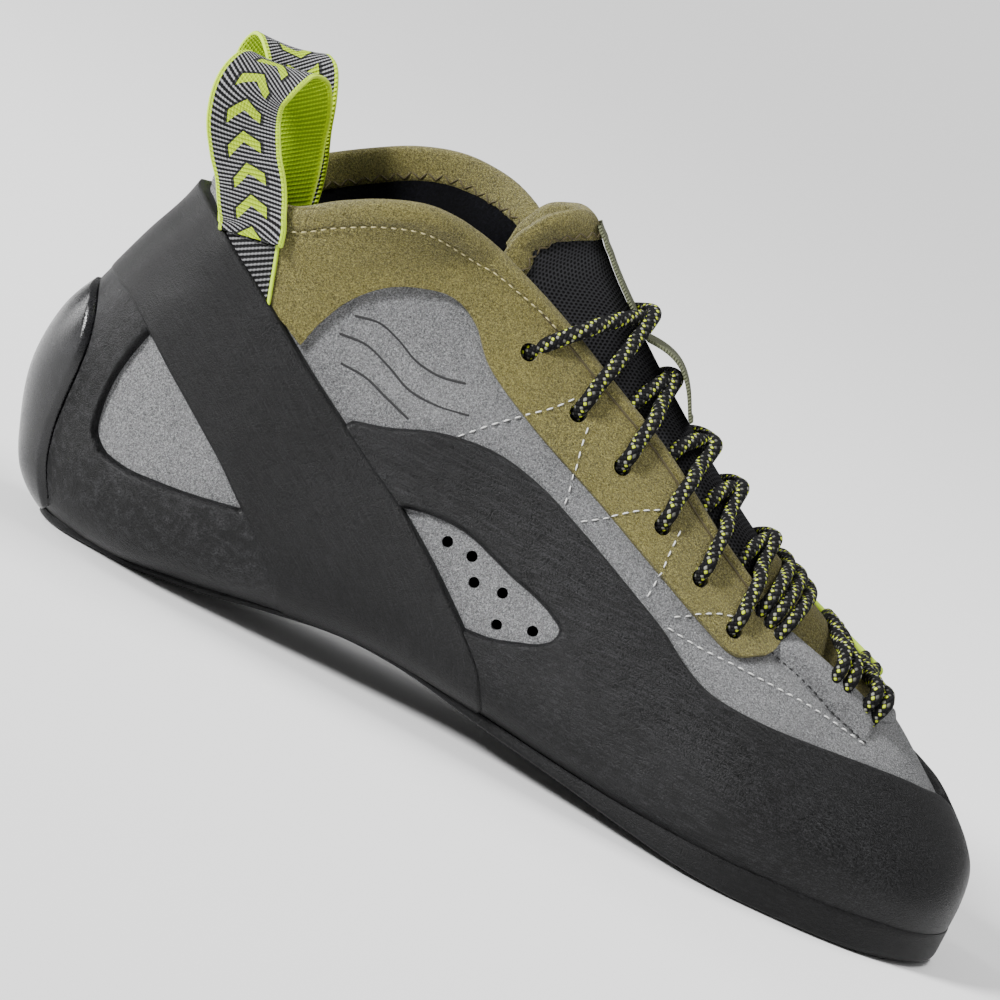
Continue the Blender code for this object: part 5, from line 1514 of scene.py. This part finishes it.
def build_piping(looks):
    """Lime piping along the far edge of the lower throat."""
    point, normal, down = edge_frame(MEDIAL, 700)
    x = point[:, 0] / LENGTH
    chosen = (x > PIPING_SPAN[0]) & (x < PIPING_SPAN[1])
    line = point[chosen] + normal[chosen] * PIPING_OUT - down[chosen] * PIPING_UP
    cords("throat_piping", [line[::6]], PIPING_RADIUS, [looks["lime"]], "webbing", around=12)


# Stage

def build_stage():
    """Pale floor, even white surroundings, a soft sun and two lamps."""
    mesh = bpy.data.meshes.new("floor")
    corners = [(x * FLOOR_SIZE, y * FLOOR_SIZE, 0) for x, y in ((-1, -1), (1, -1), (1, 1), (-1, 1))]
    mesh.from_pydata(corners, [], [(0, 1, 2, 3)])
    look = Finish("pale_floor", Roughness=0.9, Base_Color=(0.93, 0.93, 0.93, 1))
    mesh.materials.append(look.material)
    floor = bpy.data.objects.new("floor", mesh)
    floor.location = (0, 0, -0.0004)
    bpy.context.scene.collection.objects.link(floor)
    world = bpy.data.worlds.new("studio")
    world.use_nodes = True
    background = world.node_tree.nodes["Background"]
    background.inputs[0].default_value = (1, 1, 1, 1)
    background.inputs[1].default_value = WORLD_LIGHT
    bpy.context.scene.world = world
    way, power, angle = SUN
    add_lamp("key", "SUN", (0, 0, 0), Vector(way), power).angle = np.radians(angle)
    for name, place, size, power in LIGHTS:
        lamp = add_lamp(name, "AREA", place, Vector(place) - Vector(TARGET), power)
        lamp.shape = "RECTANGLE"
        lamp.size, lamp.size_y = size


def add_lamp(name, kind, place, way, power):
    """A lamp that shines from the side its way points to."""
    data = bpy.data.lights.new(name, kind)
    data.energy = power
    lamp = bpy.data.objects.new(name, data)
    lamp.location = place
    lamp.rotation_euler = (-way).to_track_quat("-Z", "Y").to_euler()
    bpy.context.scene.collection.objects.link(lamp)
    return data


def build_camera():
    a, e, roll = (np.radians(v) for v in (AZIMUTH, ELEVATION, ROLL))
    back = Vector((np.sin(a) * np.cos(e), -np.cos(a) * np.cos(e), np.sin(e)))
    right = Vector((np.cos(a), np.sin(a), 0))
    up = back.cross(right)
    turned_right = right * np.cos(roll) + up * np.sin(roll)
    turned_up = up * np.cos(roll) - right * np.sin(roll)
    data = bpy.data.cameras.new("camera")
    data.sensor_width = SENSOR
    data.lens = SENSOR * DISTANCE / FRAME_WIDTH
    data.clip_end = 60.0
    camera = bpy.data.objects.new("camera", data)
    turn = Matrix((turned_right, turned_up, back)).transposed().to_4x4()
    camera.matrix_world = Matrix.Translation(Vector(TARGET) + back * DISTANCE) @ turn
    bpy.context.scene.collection.objects.link(camera)
    bpy.context.scene.camera = camera


def make_looks():
    deep, lime_edge = (0.0006, 0.0006, 0.0007), (0.50, 0.72, 0.004)
    tape, knit = (0.001, 0.001, 0.0015), (0.0008, 0.0008, 0.001)
    return {
        "grey": suede("grey_suede", (0.062, 0.063, 0.066), (0.188, 0.190, 0.196), (0.56, 0.565, 0.57)),
        "olive": suede("olive_suede", (0.050, 0.040, 0.002), (0.150, 0.124, 0.010), (0.46, 0.42, 0.14)),
        "strap": buffed_rubber("strap_rubber", deep, (0.021, 0.021, 0.0222), 0.42, "UV", (110, 2600, 1)),
        "rand": buffed_rubber("rand_rubber", deep, (0.029, 0.029, 0.031), 0.40, "Object", (110, 2200, 2200)),
        "heel_rand": buffed_rubber("heel_rand_rubber", (0.0008, 0.0008, 0.0009), (0.032, 0.032, 0.034), 0.38,
                                   "Object", (420, 900, 420)),
        "sole": buffed_rubber("sole_rubber", deep, (0.015, 0.015, 0.016), 0.50, "Object", (160, 1500, 1800)),
        "gloss": buffed_rubber("gloss_rubber", (0.003, 0.003, 0.0035), (0.012, 0.012, 0.014), 0.24, "Object",
                               (200, 200, 200), 0.12, 0.45),
        "mesh": knitted("black_knit", knit, (0.020, 0.020, 0.022), 0.00095),
        "lining": fleece("black_lining", knit, (0.006, 0.006, 0.009)),
        "board": fleece("insole_felt", (0.008, 0.008, 0.009), (0.03, 0.03, 0.032)),
        "webbing": grosgrain("ribbed_webbing", tape, (0.40, 0.40, 0.41), lime_edge, WEBBING_WIDTH,
                             0.00105, LIME),
        "tab": grosgrain("ribbed_tab", tape, (0.24, 0.24, 0.245), lime_edge, WEBBING_WIDTH, 0.00135),
        "lime_webbing": grosgrain("lime_webbing", (0.22, 0.36, 0.002), (0.54, 0.78, 0.006),
                                  (0.48, 0.70, 0.004), WEBBING_WIDTH, 0.00105),
        "keeper": grosgrain("keeper_tape", (0.07, 0.075, 0.045), (0.22, 0.23, 0.15), (0.12, 0.13, 0.075),
                            KEEPER_WIDTH, 0.0008),
        "braid": braided("lace_braid", (0.0015, 0.0015, 0.002), (0.20, 0.20, 0.17), (0.52, 0.62, 0.03),
                         LACE_DIAMETER),
        "lime": thread("lime_edge", LIME),
        "white_thread": thread("white_thread", (0.72, 0.72, 0.70)),
        "cream_thread": thread("cream_thread", (0.42, 0.37, 0.17)),
        "tan_thread": thread("tan_thread", (0.055, 0.040, 0.008)),
        "black_thread": thread("black_thread", (0.012, 0.012, 0.013)),
    }


def main():
    looks = make_looks()
    eyelets = cylinder_cutter(
        "eyelet_cutter", np.concatenate([on_side(EYELETS, side) for side in (LATERAL, MEDIAL)]), EYELET_BORE)
    pores = cylinder_cutter("pore_cutter", on_side(PERFORATIONS, LATERAL), PERFORATION_BORE)
    build_upper(looks, [eyelets, pores])
    build_facings(looks, eyelets)
    for cutter in (eyelets, pores):
        bpy.data.objects.remove(cutter)
    for build in (
        build_outsole, build_insole, build_strap, build_front_rand, build_heel_rands, build_heel_patch,
        build_collar, build_seams, build_tongue, build_tongue_toe, build_keeper, build_laces, build_piping,
    ):
        build(looks)
    build_pull_loop("pull_loop_lateral", LATERAL, looks)
    build_pull_loop("pull_loop_medial", MEDIAL, looks)
    build_stage()
    build_camera()


main()
